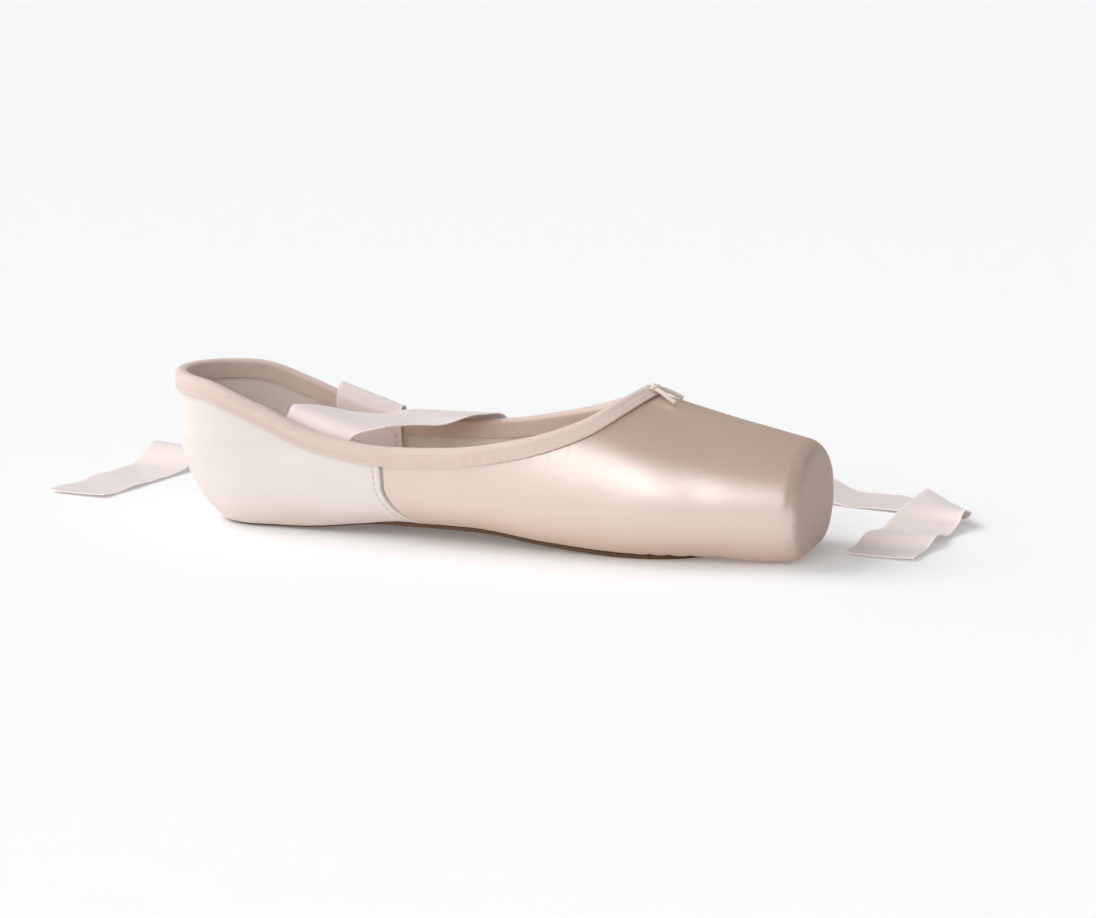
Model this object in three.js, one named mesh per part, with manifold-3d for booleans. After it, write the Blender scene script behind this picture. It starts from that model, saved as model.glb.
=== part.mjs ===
// Demi-pointe ballet shoe: a soft blocked slipper made on a straight last, with a short leather
// outsole, a bound collar that holds a drawstring, and two ribbons that lie loose on the floor.
//
// Millimetres, +Z up, toe towards +X. The origin is on the floor below the middle of the shoe.
import * as THREE from "three";
import { mergeVertices } from "three/addons/utils/BufferGeometryUtils.js";
import manifoldModule from "manifold-3d";

// Driving dimensions
const LENGTH = 242; // back of the heel to the middle of the toe platform
const HEEL_AXIS = 34; // upright axis that the round heel turns about, from the back
const THROAT = 176; // front of the foot opening, from the back of the heel
const TOE_EDGE = 6; // radius between the sides of the box and the platform
const PLATFORM_DOME = 1.5; // how far the platform bulges
const GAP = 0.3; // clearance between neighbouring pieces
const OUTSOLE_THICK = 1.6;
const OUTSOLE_MARGIN = 1.5; // the outsole is this much wider than the flat of the last
const OUTSOLE_BEVEL = 0.4;
const OUTSOLE_TIP = 210; // front end of the outsole, from the back of the heel
const OUTSOLE_TIP_ROUND = 26; // length over which the outsole's front end rounds off
const INSOLE_THICK = 1.5;
const INSOLE_MARGIN = -0.5;
const INSOLE_BEVEL = 0.3;
const INSOLE_TIP = 222;
const INSOLE_TIP_ROUND = 22;
const FEATHER_SHARE = 0.72; // half width of the hole under the upper, as a share of the flat
const BINDING_THICK = 0.8;
const BINDING_GAP = 0.5; // between the binding and the upper's wall
const BINDING_OUTSIDE = 5.8; // width of the binding that shows outside the collar
const BINDING_INSIDE = 5.5; // width turned to the inside
const FOLD_SHOULDER = 0.7; // height of the binding's rounded shoulder, as a share of its fold
const FOLD_DRAW = 0.4; // how far the shoulder is drawn in, as a share of the thickness
const KNOT_PLACE = 4.5; // middle of the drawstring's knot, ahead of the throat's edge
const KNOT_RADIUS = 2.0;
const KNOT_SHAPE = [0.9, 1.15, 0.75]; // stretch of the knot along, across and up
const KNOT_LIFT = 0.8; // height of the knot's middle over the binding, as a share of its radius
const STRING_RADIUS = 0.9;
const RIBBON_WIDTH = 25;
const RIBBON_THICK = 0.5;
const RIBBON_FLOOR_GAP = 0.1;
const RIBBON_REACH = 0.5; // rows on each side that a ribbon's direction is taken over

// Cross-sections of the last, heel to toe. x is from the back of the heel, flat is half the width of
// the flat underside, low and high are the squareness of the section below and above its waist.
const LAST = table("x half flat keel waist crown low high wall", [
  [HEEL_AXIS, 28.5, 14.5, 1.9, 22.0, 88.0, 2.1, 2.6, 1.6],
  [55, 29.0, 15.0, 2.6, 20.5, 84.0, 2.1, 2.5, 1.6],
  [85, 30.0, 15.5, 5.6, 20.0, 78.0, 2.1, 2.4, 1.6],
  [120, 33.0, 17.5, 5.8, 18.8, 70.0, 2.1, 2.3, 1.7],
  [150, 36.3, 21.5, 3.4, 17.5, 62.0, 2.1, 2.2, 2.0],
  [178, 37.0, 23.0, 1.9, 17.0, 54.0, 2.1, 2.2, 2.4],
  [OUTSOLE_TIP, 32.4, 18.4, 1.9, 17.6, 46.0, 2.1, 2.2, 2.8],
  [226, 29.2, 15.0, 0.7, 18.3, 42.6, 2.1, 2.2, 3.0],
  [LENGTH, 25.5, 11.0, 1.5, 19.0, 39.2, 2.1, 2.2, 3.0],
]);

// The same section seen in the plane of the back seam, where half is the reach behind the heel axis.
const HEEL_BACK = { half: 34, flat: 14, keel: 1.9, waist: 40, crown: 88, low: 1.8, high: 2.6, wall: 1.6 };

// Edge of the foot opening seen from the side, back of the heel to the throat.
const COLLAR = table("x z", [
  [0, 54.0],
  [18, 53.0],
  [40, 46.2],
  [65, 36.8],
  [90, 33.6],
  [115, 35.0],
  [140, 39.5],
  [162, 46.5],
  [THROAT, 54.5],
]);

// Ends of the drawstring on the vamp: distance ahead of the throat's edge, distance from the middle of
// the vamp, and height of the string's middle above the satin.
const STRING_END = [
  { ahead: 4.0, aside: 0.5, height: 2.7 },
  { ahead: 7.5, aside: 2.2, height: 2.6 },
  { ahead: 10.5, aside: 3.6, height: 2.0 },
  { ahead: 13.5, aside: 4.6, height: 1.3 },
];

// Middle lines of the ribbons, from the sewn end inside the quarter, over the collar and down to the
// floor, where each is folded over twice. across is the heading of the line from edge to edge, in degrees
// from +X, and along a fold it is the heading of the crease. lean is that line's tilt.
const RIBBON_COLUMNS = "x y z across lean";
const RIGHT_RIBBON = rows(RIBBON_COLUMNS, [
  [-65, -26.0, 24, -3, -14],
  [-61.5, -24.5, 31.3, -3, -17],
  [-58, -23.9, 38.5, -3, -19],
  [-55.5, -21.8, 41.8, -2, -17],
  [-51.5, -15.5, 41.6, 0, -14],
  [-44, -3, 39, 0, -8],
  [-35.5, 11, 37.5, 0, -3],
  [-28.5, 22, 37.7, 3, 0],
  [-23.5, 30.2, 37.5, 4, 0],
  [-20.3, 35.3, 33, 4, 0],
  [-18, 36.4, 24, 2, 0],
  [-14.5, 38.6, 14.5, -4, 0],
  [-10, 42.5, 6.8, -12, 0],
  [-5, 50.5, 2.2, -20, 0],
  [2, 62.5, 0.5, -26, 0],
  [9, 76, 0.4, -28, 0],
  [15.3, 87.7, 0.4, -28, 0],
  [19.5, 95.6, 0.4, -5, 0],
  [23.8, 103.6, 0.4, 12, 0],
  [28, 111.5, 0.4, 24, 0],
  [29.9, 114.4, 1.5, 24, 0],
  [32.6, 115.6, 3.7, 24, 0],
  [36.1, 115.1, 4.8, 24, 0],
  [44.8, 112.9, 5, 36, 0],
  [53.6, 110.7, 4.2, 53, 0],
  [62.3, 108.6, 2.6, 76, 0],
  [74, 105.6, 0.9, 76, 0],
  [89, 101.8, 4, 76, 0],
  [104, 98, 0.6, 76, 0],
  [116.3, 94.9, 0.4, 76, 0],
  [125, 92.8, 0.4, 97, 0],
  [133.8, 90.6, 0.4, 114, 0],
  [142.5, 88.4, 0.4, 126, 0],
  [145.6, 87.3, 1.5, 126, 0],
  [147.2, 85.1, 3.7, 126, 0],
  [147.2, 81.8, 4.8, 126, 0],
  [146.4, 72.8, 5, 137, 0],
  [145.6, 63.9, 4.2, 154, 0],
  [144.9, 54.9, 2.6, 175, 0],
  [143.9, 43, 0.9, 175, 0],
  [142.7, 29, 3.2, 175, 0],
  [141.5, 15, 0.6, 175, 0],
  [140.5, 3, 0.4, 175, 0],
]);
const LEFT_RIBBON = rows(RIBBON_COLUMNS, [
  [-58, 26.0, 23, 3, -16],
  [-58, 24.8, 31, 3, -18],
  [-58, 24.3, 38, 3, -19],
  [-58, 26.8, 42.2, 3, -19],
  [-58.2, 31.4, 41.6, 2, -18],
  [-58.6, 33.8, 36, 0, -17],
  [-59.2, 34.8, 26, 0, -13],
  [-60, 36.8, 15, 2, -7],
  [-61, 41.4, 6.5, 4, -2],
  [-62, 49, 2.2, 5, 0],
  [-63, 62, 0.5, 5, 0],
  [-64.2, 79, 6.5, 5, 0],
  [-65.4, 97, 0.6, 5, 0],
  [-66.2, 110, 0.4, 4, 0],
  [-67.1, 123, 0.4, 4, 0],
  [-67.7, 132, 0.4, -13, 0],
  [-68.4, 141, 0.4, -28, 0],
  [-69, 150, 0.4, -39, 0],
  [-69.5, 152.8, 1.5, -39, 0],
  [-71.1, 154.2, 3.7, -39, 0],
  [-74, 154.1, 4.8, -39, 0],
  [-82.9, 152.8, 5, -50, 0],
  [-91.8, 151.6, 4.2, -65, 0],
  [-100.7, 150.3, 2.6, -82, 0],
  [-111.5, 148.8, 0.8, -82, 0],
  [-121.3, 147.5, 0.4, -82, 0],
  [-130.2, 146.2, 0.4, -106, 0],
  [-139.1, 144.9, 0.4, -124, 0],
  [-148, 143.7, 0.4, -135, 0],
  [-151.5, 142.9, 1.5, -135, 0],
  [-153.7, 140.7, 3.7, -135, 0],
  [-154.5, 137.2, 4.8, -135, 0],
  [-155.8, 128.3, 5, -146, 0],
  [-157, 119.4, 4.2, -164, 0],
  [-158.3, 110.5, 2.6, -188, 0],
  [-160, 98, 0.8, -188, 0],
  [-162, 83, 6.5, -188, 0],
  [-164.2, 67, 0.6, -188, 0],
  [-166.5, 50, 0.4, -188, 0],
  [-169, 32, 0.4, -188, 0],
  [-172, 10, 0.4, -188, 0],
]);

// Shares of a section's parameter: the flat underside, then the side up to the waist, then the top.
const FLAT_SHARE = 0.2;
const WAIST_SHARE = 0.45;
const SIDE_TOP = 0.5; // just below the lowest part of the collar

// Stations along the shoe
const TOE_START = LENGTH - PLATFORM_DOME - TOE_EDGE;
const TOE_END = TOE_START + TOE_EDGE;
const PLATFORM_SPAN = 20; // station length given to the platform, edge to middle
const SHOE_END = TOE_END + PLATFORM_SPAN;
const THROAT_CROWD = THROAT - 30; // from here to the throat the stations crowd together
const HOLE_TIP = OUTSOLE_TIP - 6; // front end of the hole under the upper
const HOLE_CROWD = HOLE_TIP - 8; // from here to the hole's end the stations crowd together
const TOP_STRIP = 0.06; // share of a section over which the top counts as level

// Steps along u and v over which the surface's slopes are measured
const STEP_U = 0.05;
const STEP_V = 0.002;

// Numbers of stations along each stretch, and of rows up each side
const COLLAR_STEPS = { heel: 8, side: 9, throat: 10 };
const TOE_STEPS = { vamp: 4, hole: 3, box: 3, edge: 3, platform: 2 };
const SIDE_ROWS = { low: 9, high: 8 };
const SOLE_STEPS = { heel: 6, middle: 15, tip: 7 };
const BINDING_STEPS = 4;
const KNOT_STEPS = { round: 14, high: 10 };
const STRING_STEPS = { long: 10, round: 4 };
const RIBBON_STEPS = 2; // between two rows

const RIGHT = -1; // side of the shoe at negative y
const LEFT = 1;

const FINISHES = {
  satin: { color: 0xe8d3c2, roughness: 0.35 },
  leather: { color: 0xa98a6c, roughness: 0.85 },
  canvas: { color: 0xe9e0d2, roughness: 0.9 },
  binding: { color: 0xe4d4c6, roughness: 0.6 },
  cord: { color: 0xe4d4c6, roughness: 0.8 },
  ribbon: { color: 0xead9d6, roughness: 0.3 },
};
const SAME_POINT = 1e-3; // points nearer than this are one

// Reads rows of numbers into columns, each a smooth function of the first column.
function table(names, rows) {
  const [first, ...others] = names.split(" ");
  const xs = rows.map((row) => row[0]);
  const columns = { [first]: xs };
  others.forEach((name, k) => {
    columns[name] = monotoneCubic(xs, rows.map((row) => row[k + 1]));
  });
  return columns;
}

// Reads rows of numbers into objects with named values.
function rows(names, numbers) {
  const keys = names.split(" ");
  return numbers.map((row) => Object.fromEntries(keys.map((key, k) => [key, row[k]])));
}

// Cubic through the points with no bump between two rows, and flat between two equal ones.
function monotoneCubic(xs, ys) {
  const last = xs.length - 1;
  const rise = xs.slice(1).map((x, i) => (ys[i + 1] - ys[i]) / (x - xs[i]));
  const slope = xs.map((_, i) => {
    if (i === 0 || i === last) return rise[Math.min(i, last - 1)];
    const before = rise[i - 1];
    const after = rise[i];
    return before * after <= 0 ? 0 : (2 * before * after) / (before + after);
  });
  return (x) => {
    const at = Math.min(Math.max(x, xs[0]), xs[last]);
    let i = 0;
    while (i < last - 1 && at > xs[i + 1]) i += 1;
    const span = xs[i + 1] - xs[i];
    const t = (at - xs[i]) / span;
    const blend = t * t * (3 - 2 * t);
    const lead = t * (1 - t) * (1 - t) * span * slope[i];
    const trail = t * t * (1 - t) * span * slope[i + 1];
    return ys[i] + (ys[i + 1] - ys[i]) * blend + lead - trail;
  };
}

// All sizes of the last's cross-section at x.
function sectionAt(x) {
  const section = {};
  for (const name of ["half", "flat", "keel", "waist", "crown", "low", "high", "wall"]) {
    section[name] = LAST[name](x);
  }
  return section;
}

// A point of a half section: how far out it is and how high. v runs from the middle of the underside
// (0) round the waist to the middle of the top (1); inset draws the section in on all sides.
function profile(section, v, inset = 0) {
  const half = section.half - inset;
  const keel = section.keel + inset;
  const crown = section.crown - inset;
  const flat = Math.max(section.flat - inset, 1);
  if (v <= FLAT_SHARE) return [(flat * v) / FLAT_SHARE, keel];
  if (v <= WAIST_SHARE) {
    const angle = (((v - FLAT_SHARE) / (WAIST_SHARE - FLAT_SHARE)) * Math.PI) / 2;
    const out = Math.sin(angle) ** (2 / section.low);
    const down = Math.max(Math.cos(angle), 0) ** (2 / section.low);
    return [flat + (half - flat) * out, section.waist - (section.waist - keel) * down];
  }
  const angle = (((v - WAIST_SHARE) / (1 - WAIST_SHARE)) * Math.PI) / 2;
  const out = Math.max(Math.cos(angle), 0) ** (2 / section.high);
  const up = Math.sin(angle) ** (2 / section.high);
  return [half * out, section.waist + (crown - section.waist) * up];
}

// A point of the last's outer surface. u is x along the body, an angle round the heel, and goes on
// over the toe's edge and in to the middle of the platform.
function lastPoint(u, v, side) {
  if (u < HEEL_AXIS) {
    const turn = ((1 - u / HEEL_AXIS) * Math.PI) / 2;
    const [reach, backZ] = profile(HEEL_BACK, v);
    const [out, sideZ] = profile(sectionAt(HEEL_AXIS), v);
    const share = Math.sin(turn) ** 2;
    return new THREE.Vector3(
      HEEL_AXIS - reach * Math.sin(turn),
      side * out * Math.cos(turn),
      sideZ * (1 - share) + backZ * share,
    );
  }
  if (u <= TOE_START) {
    const [out, z] = profile(sectionAt(u), v);
    return new THREE.Vector3(u, side * out, z);
  }
  const angle = (Math.min((u - TOE_START) / TOE_EDGE, 1) * Math.PI) / 2;
  const x = TOE_START + TOE_EDGE * Math.sin(angle);
  const section = sectionAt(x);
  const [out, z] = profile(section, v, TOE_EDGE * (1 - Math.cos(angle)));
  const shrink = Math.min(Math.max(1 - (u - TOE_END) / PLATFORM_SPAN, 0), 1);
  return new THREE.Vector3(
    x + PLATFORM_DOME * (1 - shrink * shrink),
    side * out * shrink,
    section.waist + (z - section.waist) * shrink,
  );
}

// How fast a point of the last moves with u and with v.
function lastSlopes(u, v, side) {
  const atU = Math.max(u, STEP_U);
  const atV = Math.min(Math.max(v, STEP_V), 1 - STEP_V);
  const along = lastPoint(atU + STEP_U, atV, side).sub(lastPoint(atU - STEP_U, atV, side));
  const across = lastPoint(atU, atV + STEP_V, side).sub(lastPoint(atU, atV - STEP_V, side));
  return [along.divideScalar(2 * STEP_U), across.divideScalar(2 * STEP_V)];
}

// Outward normal of the last at (u, v).
function lastNormal(u, v, side) {
  if (u >= SHOE_END - STEP_U) return new THREE.Vector3(1, 0, 0);
  const [along, across] = lastSlopes(u, v, side);
  const normal = across.cross(along).multiplyScalar(side).normalize();
  if (v <= 0 || v >= 1 || u <= 0) normal.setY(0).normalize();
  return normal;
}

// The last's surface moved along its normal.
function offsetPoint(u, v, side, distance) {
  return lastPoint(u, v, side).addScaledVector(lastNormal(u, v, side), distance);
}

// Wall thickness of the upper at station u.
function wallAt(u) {
  return LAST.wall(u);
}

// Where the foot opening cuts the section at u: the v at which its height meets the collar's.
function collarV(u) {
  if (u >= THROAT) return 1;
  let low = WAIST_SHARE;
  let high = 1;
  for (let k = 0; k < 50; k += 1) {
    const middle = (low + high) / 2;
    const point = lastPoint(u, middle, LEFT);
    if (point.z < COLLAR.z(point.x)) low = middle;
    else high = middle;
  }
  return (low + high) / 2;
}

// Half width of a sole's outline, as a share of its full width there, near its rounded front end.
function tipShare(u, tip, length) {
  const t = Math.min(Math.max((u - (tip - length)) / length, 0), 1);
  return Math.sqrt(1 - t * t);
}

// Where the hole under the upper begins at station u, which the outsole closes.
function featherV(u) {
  return FLAT_SHARE * FEATHER_SHARE * tipShare(u, HOLE_TIP, OUTSOLE_TIP_ROUND);
}

// Values from a to b, closer together towards b.
function easeTo(a, b, count) {
  return Array.from({ length: count }, (_, i) => b - (b - a) * (1 - (i + 1) / count) ** 2);
}

// Values from a to b at even steps, without a itself.
function evenTo(a, b, count) {
  return Array.from({ length: count }, (_, i) => a + ((b - a) * (i + 1)) / count);
}

// Stations round the foot opening, from the back of the heel to the throat.
function collarStations() {
  return [
    0,
    ...evenTo(0, HEEL_AXIS, COLLAR_STEPS.heel),
    ...evenTo(HEEL_AXIS, THROAT_CROWD, COLLAR_STEPS.side),
    ...easeTo(THROAT_CROWD, THROAT, COLLAR_STEPS.throat),
  ];
}

// A closed solid from a list of points and of faces that index them.
function solid(points, faces) {
  const geometry = new THREE.BufferGeometry();
  const corners = faces.flatMap(([a, b, c, d]) => (d === undefined ? [a, b, c] : [a, b, c, a, c, d]));
  geometry.setAttribute("position", new THREE.Float32BufferAttribute(points.flatMap((p) => [p.x, p.y, p.z]), 3));
  geometry.setIndex(corners);
  const merged = mergeVertices(geometry, SAME_POINT);
  const index = merged.getIndex().array;
  const kept = [];
  for (let i = 0; i < index.length; i += 3) {
    const [a, b, c] = [index[i], index[i + 1], index[i + 2]];
    if (a !== b && b !== c && c !== a) kept.push(a, b, c);
  }
  merged.setIndex(kept);
  merged.computeVertexNormals();
  return merged;
}

// The upper: satin and lining as one wall, open at the collar and underneath.
function upperGeometry() {
  const stations = [
    ...collarStations(),
    ...evenTo(THROAT, HOLE_CROWD, TOE_STEPS.vamp),
    ...easeTo(HOLE_CROWD, HOLE_TIP, TOE_STEPS.hole),
    ...evenTo(HOLE_TIP, TOE_START, TOE_STEPS.box),
    ...evenTo(TOE_START, TOE_END, TOE_STEPS.edge),
    ...evenTo(TOE_END, SHOE_END, TOE_STEPS.platform),
  ];
  const top = SIDE_ROWS.low + SIDE_ROWS.high;
  const points = [];
  const faces = [];
  for (const side of [RIGHT, LEFT]) {
    const grids = [0, 1].map((inner) =>
      stations.map((u) => {
        const from = featherV(u);
        const to = collarV(u);
        return Array.from({ length: top + 1 }, (_, j) => {
          const v = j <= SIDE_ROWS.low
            ? from + ((SIDE_TOP - from) * j) / SIDE_ROWS.low
            : SIDE_TOP + ((to - SIDE_TOP) * (j - SIDE_ROWS.low)) / SIDE_ROWS.high;
          points.push(offsetPoint(u, v, side, inner ? -wallAt(u) : 0));
          return points.length - 1;
        });
      }),
    );
    const [outer, inner] = grids;
    const add = (a, b, c, d) => faces.push(side === RIGHT ? [a, b, c, d] : [d, c, b, a]);
    for (let i = 0; i < stations.length - 1; i += 1) {
      for (let j = 0; j < top; j += 1) {
        add(outer[i][j], outer[i + 1][j], outer[i + 1][j + 1], outer[i][j + 1]);
        add(inner[i][j + 1], inner[i + 1][j + 1], inner[i + 1][j], inner[i][j]);
      }
      if (stations[i] < THROAT) {
        add(outer[i][top], outer[i + 1][top], inner[i + 1][top], inner[i][top]);
      }
      if (featherV(stations[i]) > 0) {
        add(inner[i][0], inner[i + 1][0], outer[i + 1][0], outer[i][0]);
      }
    }
  }
  return solid(points, faces);
}

// A flat sole that follows the last's underside: its outline is the flat plus a margin.
function soleGeometry({ margin, tip, tipRound, bevel, bottom, thick }) {
  const stations = [
    0,
    ...evenTo(0, HEEL_AXIS, SOLE_STEPS.heel),
    ...evenTo(HEEL_AXIS, tip - tipRound, SOLE_STEPS.middle),
    ...easeTo(tip - tipRound, tip, SOLE_STEPS.tip),
  ];
  const points = [];
  const faces = [];
  const rings = stations.map((u) => {
    const turn = u < HEEL_AXIS ? ((1 - u / HEEL_AXIS) * Math.PI) / 2 : 0;
    const reach = HEEL_BACK.flat + margin;
    const half = (LAST.flat(u) + margin) * Math.cos(turn) * tipShare(u, tip, tipRound);
    const x = turn > 0 ? HEEL_AXIS - reach * Math.sin(turn) : u;
    const low = bottom(u);
    const corners = [
      [half - bevel, low],
      [half, low + bevel],
      [half, low + thick - bevel],
      [half - bevel, low + thick],
    ];
    const right = corners.map(([y, z]) => [-Math.max(y, 0), z]);
    const left = corners.map(([y, z]) => [Math.max(y, 0), z]).reverse();
    return [...right, ...left].map(([y, z]) => {
      points.push(new THREE.Vector3(x, y, z));
      return points.length - 1;
    });
  });
  for (let i = 0; i < rings.length - 1; i += 1) {
    rings[i].forEach((_, k) => {
      const next = (k + 1) % rings[i].length;
      faces.push([rings[i][k], rings[i + 1][k], rings[i + 1][next], rings[i][next]]);
    });
  }
  return solid(points, faces);
}

function outsoleGeometry() {
  return soleGeometry({
    margin: OUTSOLE_MARGIN,
    tip: OUTSOLE_TIP,
    tipRound: OUTSOLE_TIP_ROUND,
    bevel: OUTSOLE_BEVEL,
    bottom: (u) => LAST.keel(u) - GAP - OUTSOLE_THICK,
    thick: OUTSOLE_THICK,
  });
}

function insoleGeometry() {
  return soleGeometry({
    margin: INSOLE_MARGIN,
    tip: INSOLE_TIP,
    tipRound: INSOLE_TIP_ROUND,
    bevel: INSOLE_BEVEL,
    bottom: (u) => LAST.keel(u) + wallAt(u) + GAP,
    thick: INSOLE_THICK,
  });
}

// Where a short step over the last's surface from (u, v) ends.
function stepOnLast(u, v, side, direction, distance) {
  const [along, across] = lastSlopes(u, v, side);
  const uu = along.dot(along);
  const uv = along.dot(across);
  const vv = across.dot(across);
  const p = along.dot(direction) * distance;
  const q = across.dot(direction) * distance;
  const det = uu * vv - uv * uv;
  return [u + (p * vv - q * uv) / det, Math.min(v + (uu * q - uv * p) / det, 1)];
}

// The binding: a folded band over the collar's edge. Its section is given by the distance from the
// edge down over the surface, and by the distance out from the satin.
function bindingGeometry() {
  const stations = collarStations();
  const edge = stations.map((u) => lastPoint(u, collarV(u), RIGHT));
  const mirrored = (p) => new THREE.Vector3(p.x, -p.y, p.z);
  const halfRings = stations.map((u, i) => {
    const wall = wallAt(u);
    const before = i === 0 ? mirrored(edge[1]) : edge[i - 1];
    const after = i === edge.length - 1 ? mirrored(edge[i - 1]) : edge[i + 1];
    const tangent = after.clone().sub(before).normalize();
    const normal = lastNormal(u, collarV(u), RIGHT);
    const down = tangent.clone().cross(normal).normalize();
    const outA = BINDING_GAP;
    const outB = BINDING_GAP + BINDING_THICK;
    const inA = -(wall + BINDING_GAP);
    const inB = -(wall + BINDING_GAP + BINDING_THICK);
    const rise = BINDING_GAP + BINDING_THICK;
    const section = [
      [BINDING_OUTSIDE, outB],
      [BINDING_OUTSIDE / 2, outB],
      [0, outB],
      [-rise * FOLD_SHOULDER, outB - BINDING_THICK * FOLD_DRAW],
      [-rise, -wall / 2],
      [-rise * FOLD_SHOULDER, inB + BINDING_THICK * FOLD_DRAW],
      [0, inB],
      [BINDING_INSIDE, inB],
      [BINDING_INSIDE, inA],
      [0, inA],
      [-BINDING_GAP, inA],
      [-BINDING_GAP, outA],
      [0, outA],
      [BINDING_OUTSIDE / 2, outA],
      [BINDING_OUTSIDE, outA],
    ];
    return section.map(([below, out]) => {
      if (below <= 0) return edge[i].clone().addScaledVector(down, below).addScaledVector(normal, out);
      let [atU, atV] = [u, collarV(u)];
      for (let k = 0; k < BINDING_STEPS; k += 1) {
        [atU, atV] = stepOnLast(atU, atV, RIGHT, down, below / BINDING_STEPS);
      }
      const point = offsetPoint(atU, atV, RIGHT, out);
      if (i === 0 || i === stations.length - 1) point.setY(0);
      return point;
    });
  });
  const left = halfRings.slice(1, -1).map((ring) => ring.map(mirrored));
  const rings = [...halfRings, ...left.reverse()];
  const points = rings.flat();
  const size = halfRings[0].length;
  const faces = [];
  rings.forEach((_, i) => {
    const j = (i + 1) % rings.length;
    for (let k = 0; k < size; k += 1) {
      const next = (k + 1) % size;
      faces.push([i * size + k, j * size + k, j * size + next, i * size + next]);
    }
  });
  return solid(points, faces);
}

// A round string with closed ends along a smooth line through the points.
function stringGeometry(through) {
  const section = new THREE.Shape().absarc(0, 0, STRING_RADIUS, 0, 2 * Math.PI);
  const line = new THREE.CatmullRomCurve3(through);
  const { long: steps, round: curveSegments } = STRING_STEPS;
  const sweep = { steps, curveSegments, bevelEnabled: false, extrudePath: line };
  return solidFrom(new THREE.ExtrudeGeometry(section, sweep));
}

// A point over the vamp, ahead of the throat's edge.
function overVamp(ahead, aside, height) {
  const side = aside < 0 ? RIGHT : LEFT;
  const u = THROAT + ahead;
  const perV = lastPoint(u, 1 - TOP_STRIP, LEFT).y / TOP_STRIP;
  return offsetPoint(u, 1 - Math.abs(aside) / perV, side, height);
}

// The drawstring's knot at the throat with its two short ends, joined into one solid.
async function drawstringGeometry() {
  const wasm = await manifoldModule();
  wasm.setup();
  const toManifold = (geometry) =>
    new wasm.Manifold(
      new wasm.Mesh({
        numProp: 3,
        vertProperties: new Float32Array(geometry.getAttribute("position").array),
        triVerts: new Uint32Array(geometry.getIndex().array),
      }),
    );
  const knotHeight = BINDING_GAP + BINDING_THICK + GAP + KNOT_RADIUS * KNOT_LIFT;
  const knot = new THREE.SphereGeometry(KNOT_RADIUS, KNOT_STEPS.round, KNOT_STEPS.high).scale(...KNOT_SHAPE);
  const place = overVamp(KNOT_PLACE, 0, knotHeight);
  knot.translate(place.x, place.y, place.z);
  const ends = [RIGHT, LEFT].map((side) => {
    const through = STRING_END.map((row) => overVamp(row.ahead, side * row.aside, row.height));
    return stringGeometry(through);
  });
  const parts = [solidFrom(knot), ...ends].map(toManifold);
  const mesh = wasm.Manifold.union(parts).getMesh();
  const joined = new THREE.BufferGeometry();
  joined.setAttribute("position", new THREE.Float32BufferAttribute(mesh.vertProperties, 3));
  joined.setIndex(Array.from(mesh.triVerts));
  joined.computeVertexNormals();
  return joined;
}

// A geometry's triangles with its coincident points merged.
function solidFrom(geometry) {
  const position = geometry.getAttribute("position");
  const index = geometry.getIndex()?.array ?? Array.from({ length: position.count }, (_, i) => i);
  const points = Array.from({ length: position.count }, (_, i) =>
    new THREE.Vector3().fromBufferAttribute(position, i),
  );
  const faces = Array.from({ length: index.length / 3 }, (_, i) => [...index.slice(3 * i, 3 * i + 3)]);
  return solid(points, faces);
}

// Value between rows of a hand-laid line, as a smooth curve through them.
function throughRows(list, key, t) {
  const last = list.length - 1;
  const i = Math.min(Math.floor(t), last - 1);
  const f = t - i;
  const at = (k) => list[Math.min(Math.max(k, 0), last)][key];
  const [a, b, c, d] = [at(i - 1), at(i), at(i + 1), at(i + 2)];
  return b + 0.5 * f * (c - a + f * (2 * a - 5 * b + 4 * c - d + f * (3 * (b - c) + d - a)));
}

// A ribbon: a thin flat strip along its middle line, as wide all along when measured square to it.
function ribbonGeometry(list) {
  const lastRow = list.length - 1;
  const count = lastRow * RIBBON_STEPS;
  const middle = (t) => {
    const lean = (throughRows(list, "lean", t) * Math.PI) / 180;
    const lift = (RIBBON_WIDTH / 2) * Math.abs(Math.sin(lean)) + RIBBON_THICK / 2 + RIBBON_FLOOR_GAP;
    return new THREE.Vector3(
      throughRows(list, "x", t),
      throughRows(list, "y", t),
      Math.max(throughRows(list, "z", t), lift),
    );
  };
  const points = [];
  for (let i = 0; i <= count; i += 1) {
    const t = i / RIBBON_STEPS;
    const ahead = middle(Math.min(t + RIBBON_REACH, lastRow));
    const along = ahead.sub(middle(Math.max(t - RIBBON_REACH, 0))).normalize();
    const heading = (throughRows(list, "across", t) * Math.PI) / 180;
    const lean = (throughRows(list, "lean", t) * Math.PI) / 180;
    const across = new THREE.Vector3(
      Math.cos(heading) * Math.cos(lean),
      Math.sin(heading) * Math.cos(lean),
      Math.sin(lean),
    );
    const face = across.clone().cross(along);
    const half = RIBBON_WIDTH / 2 / face.length();
    face.normalize();
    for (const [edge, up] of [[-1, -1], [1, -1], [1, 1], [-1, 1]]) {
      const corner = middle(t).addScaledVector(across, edge * half);
      points.push(corner.addScaledVector(face, (up * RIBBON_THICK) / 2));
    }
  }
  const faces = [[0, 1, 2, 3], [4 * count + 3, 4 * count + 2, 4 * count + 1, 4 * count]];
  // Both faces of a step are split along the same diagonal, so that they stay apart where it is twisted.
  for (let i = 0; i < count; i += 1) {
    const [a, b] = [4 * i, 4 * i + 4];
    faces.push([a, b, b + 1, a + 1], [b + 1, b + 2, a + 2, a + 1]);
    faces.push([b + 2, b + 3, a + 3, a + 2], [a + 3, b + 3, b, a]);
  }
  return solid(points, faces);
}

function piece(name, geometry, finish) {
  const mesh = new THREE.Mesh(geometry, new THREE.MeshStandardMaterial({ ...finish, metalness: 0 }));
  mesh.name = name;
  return mesh;
}

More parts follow.
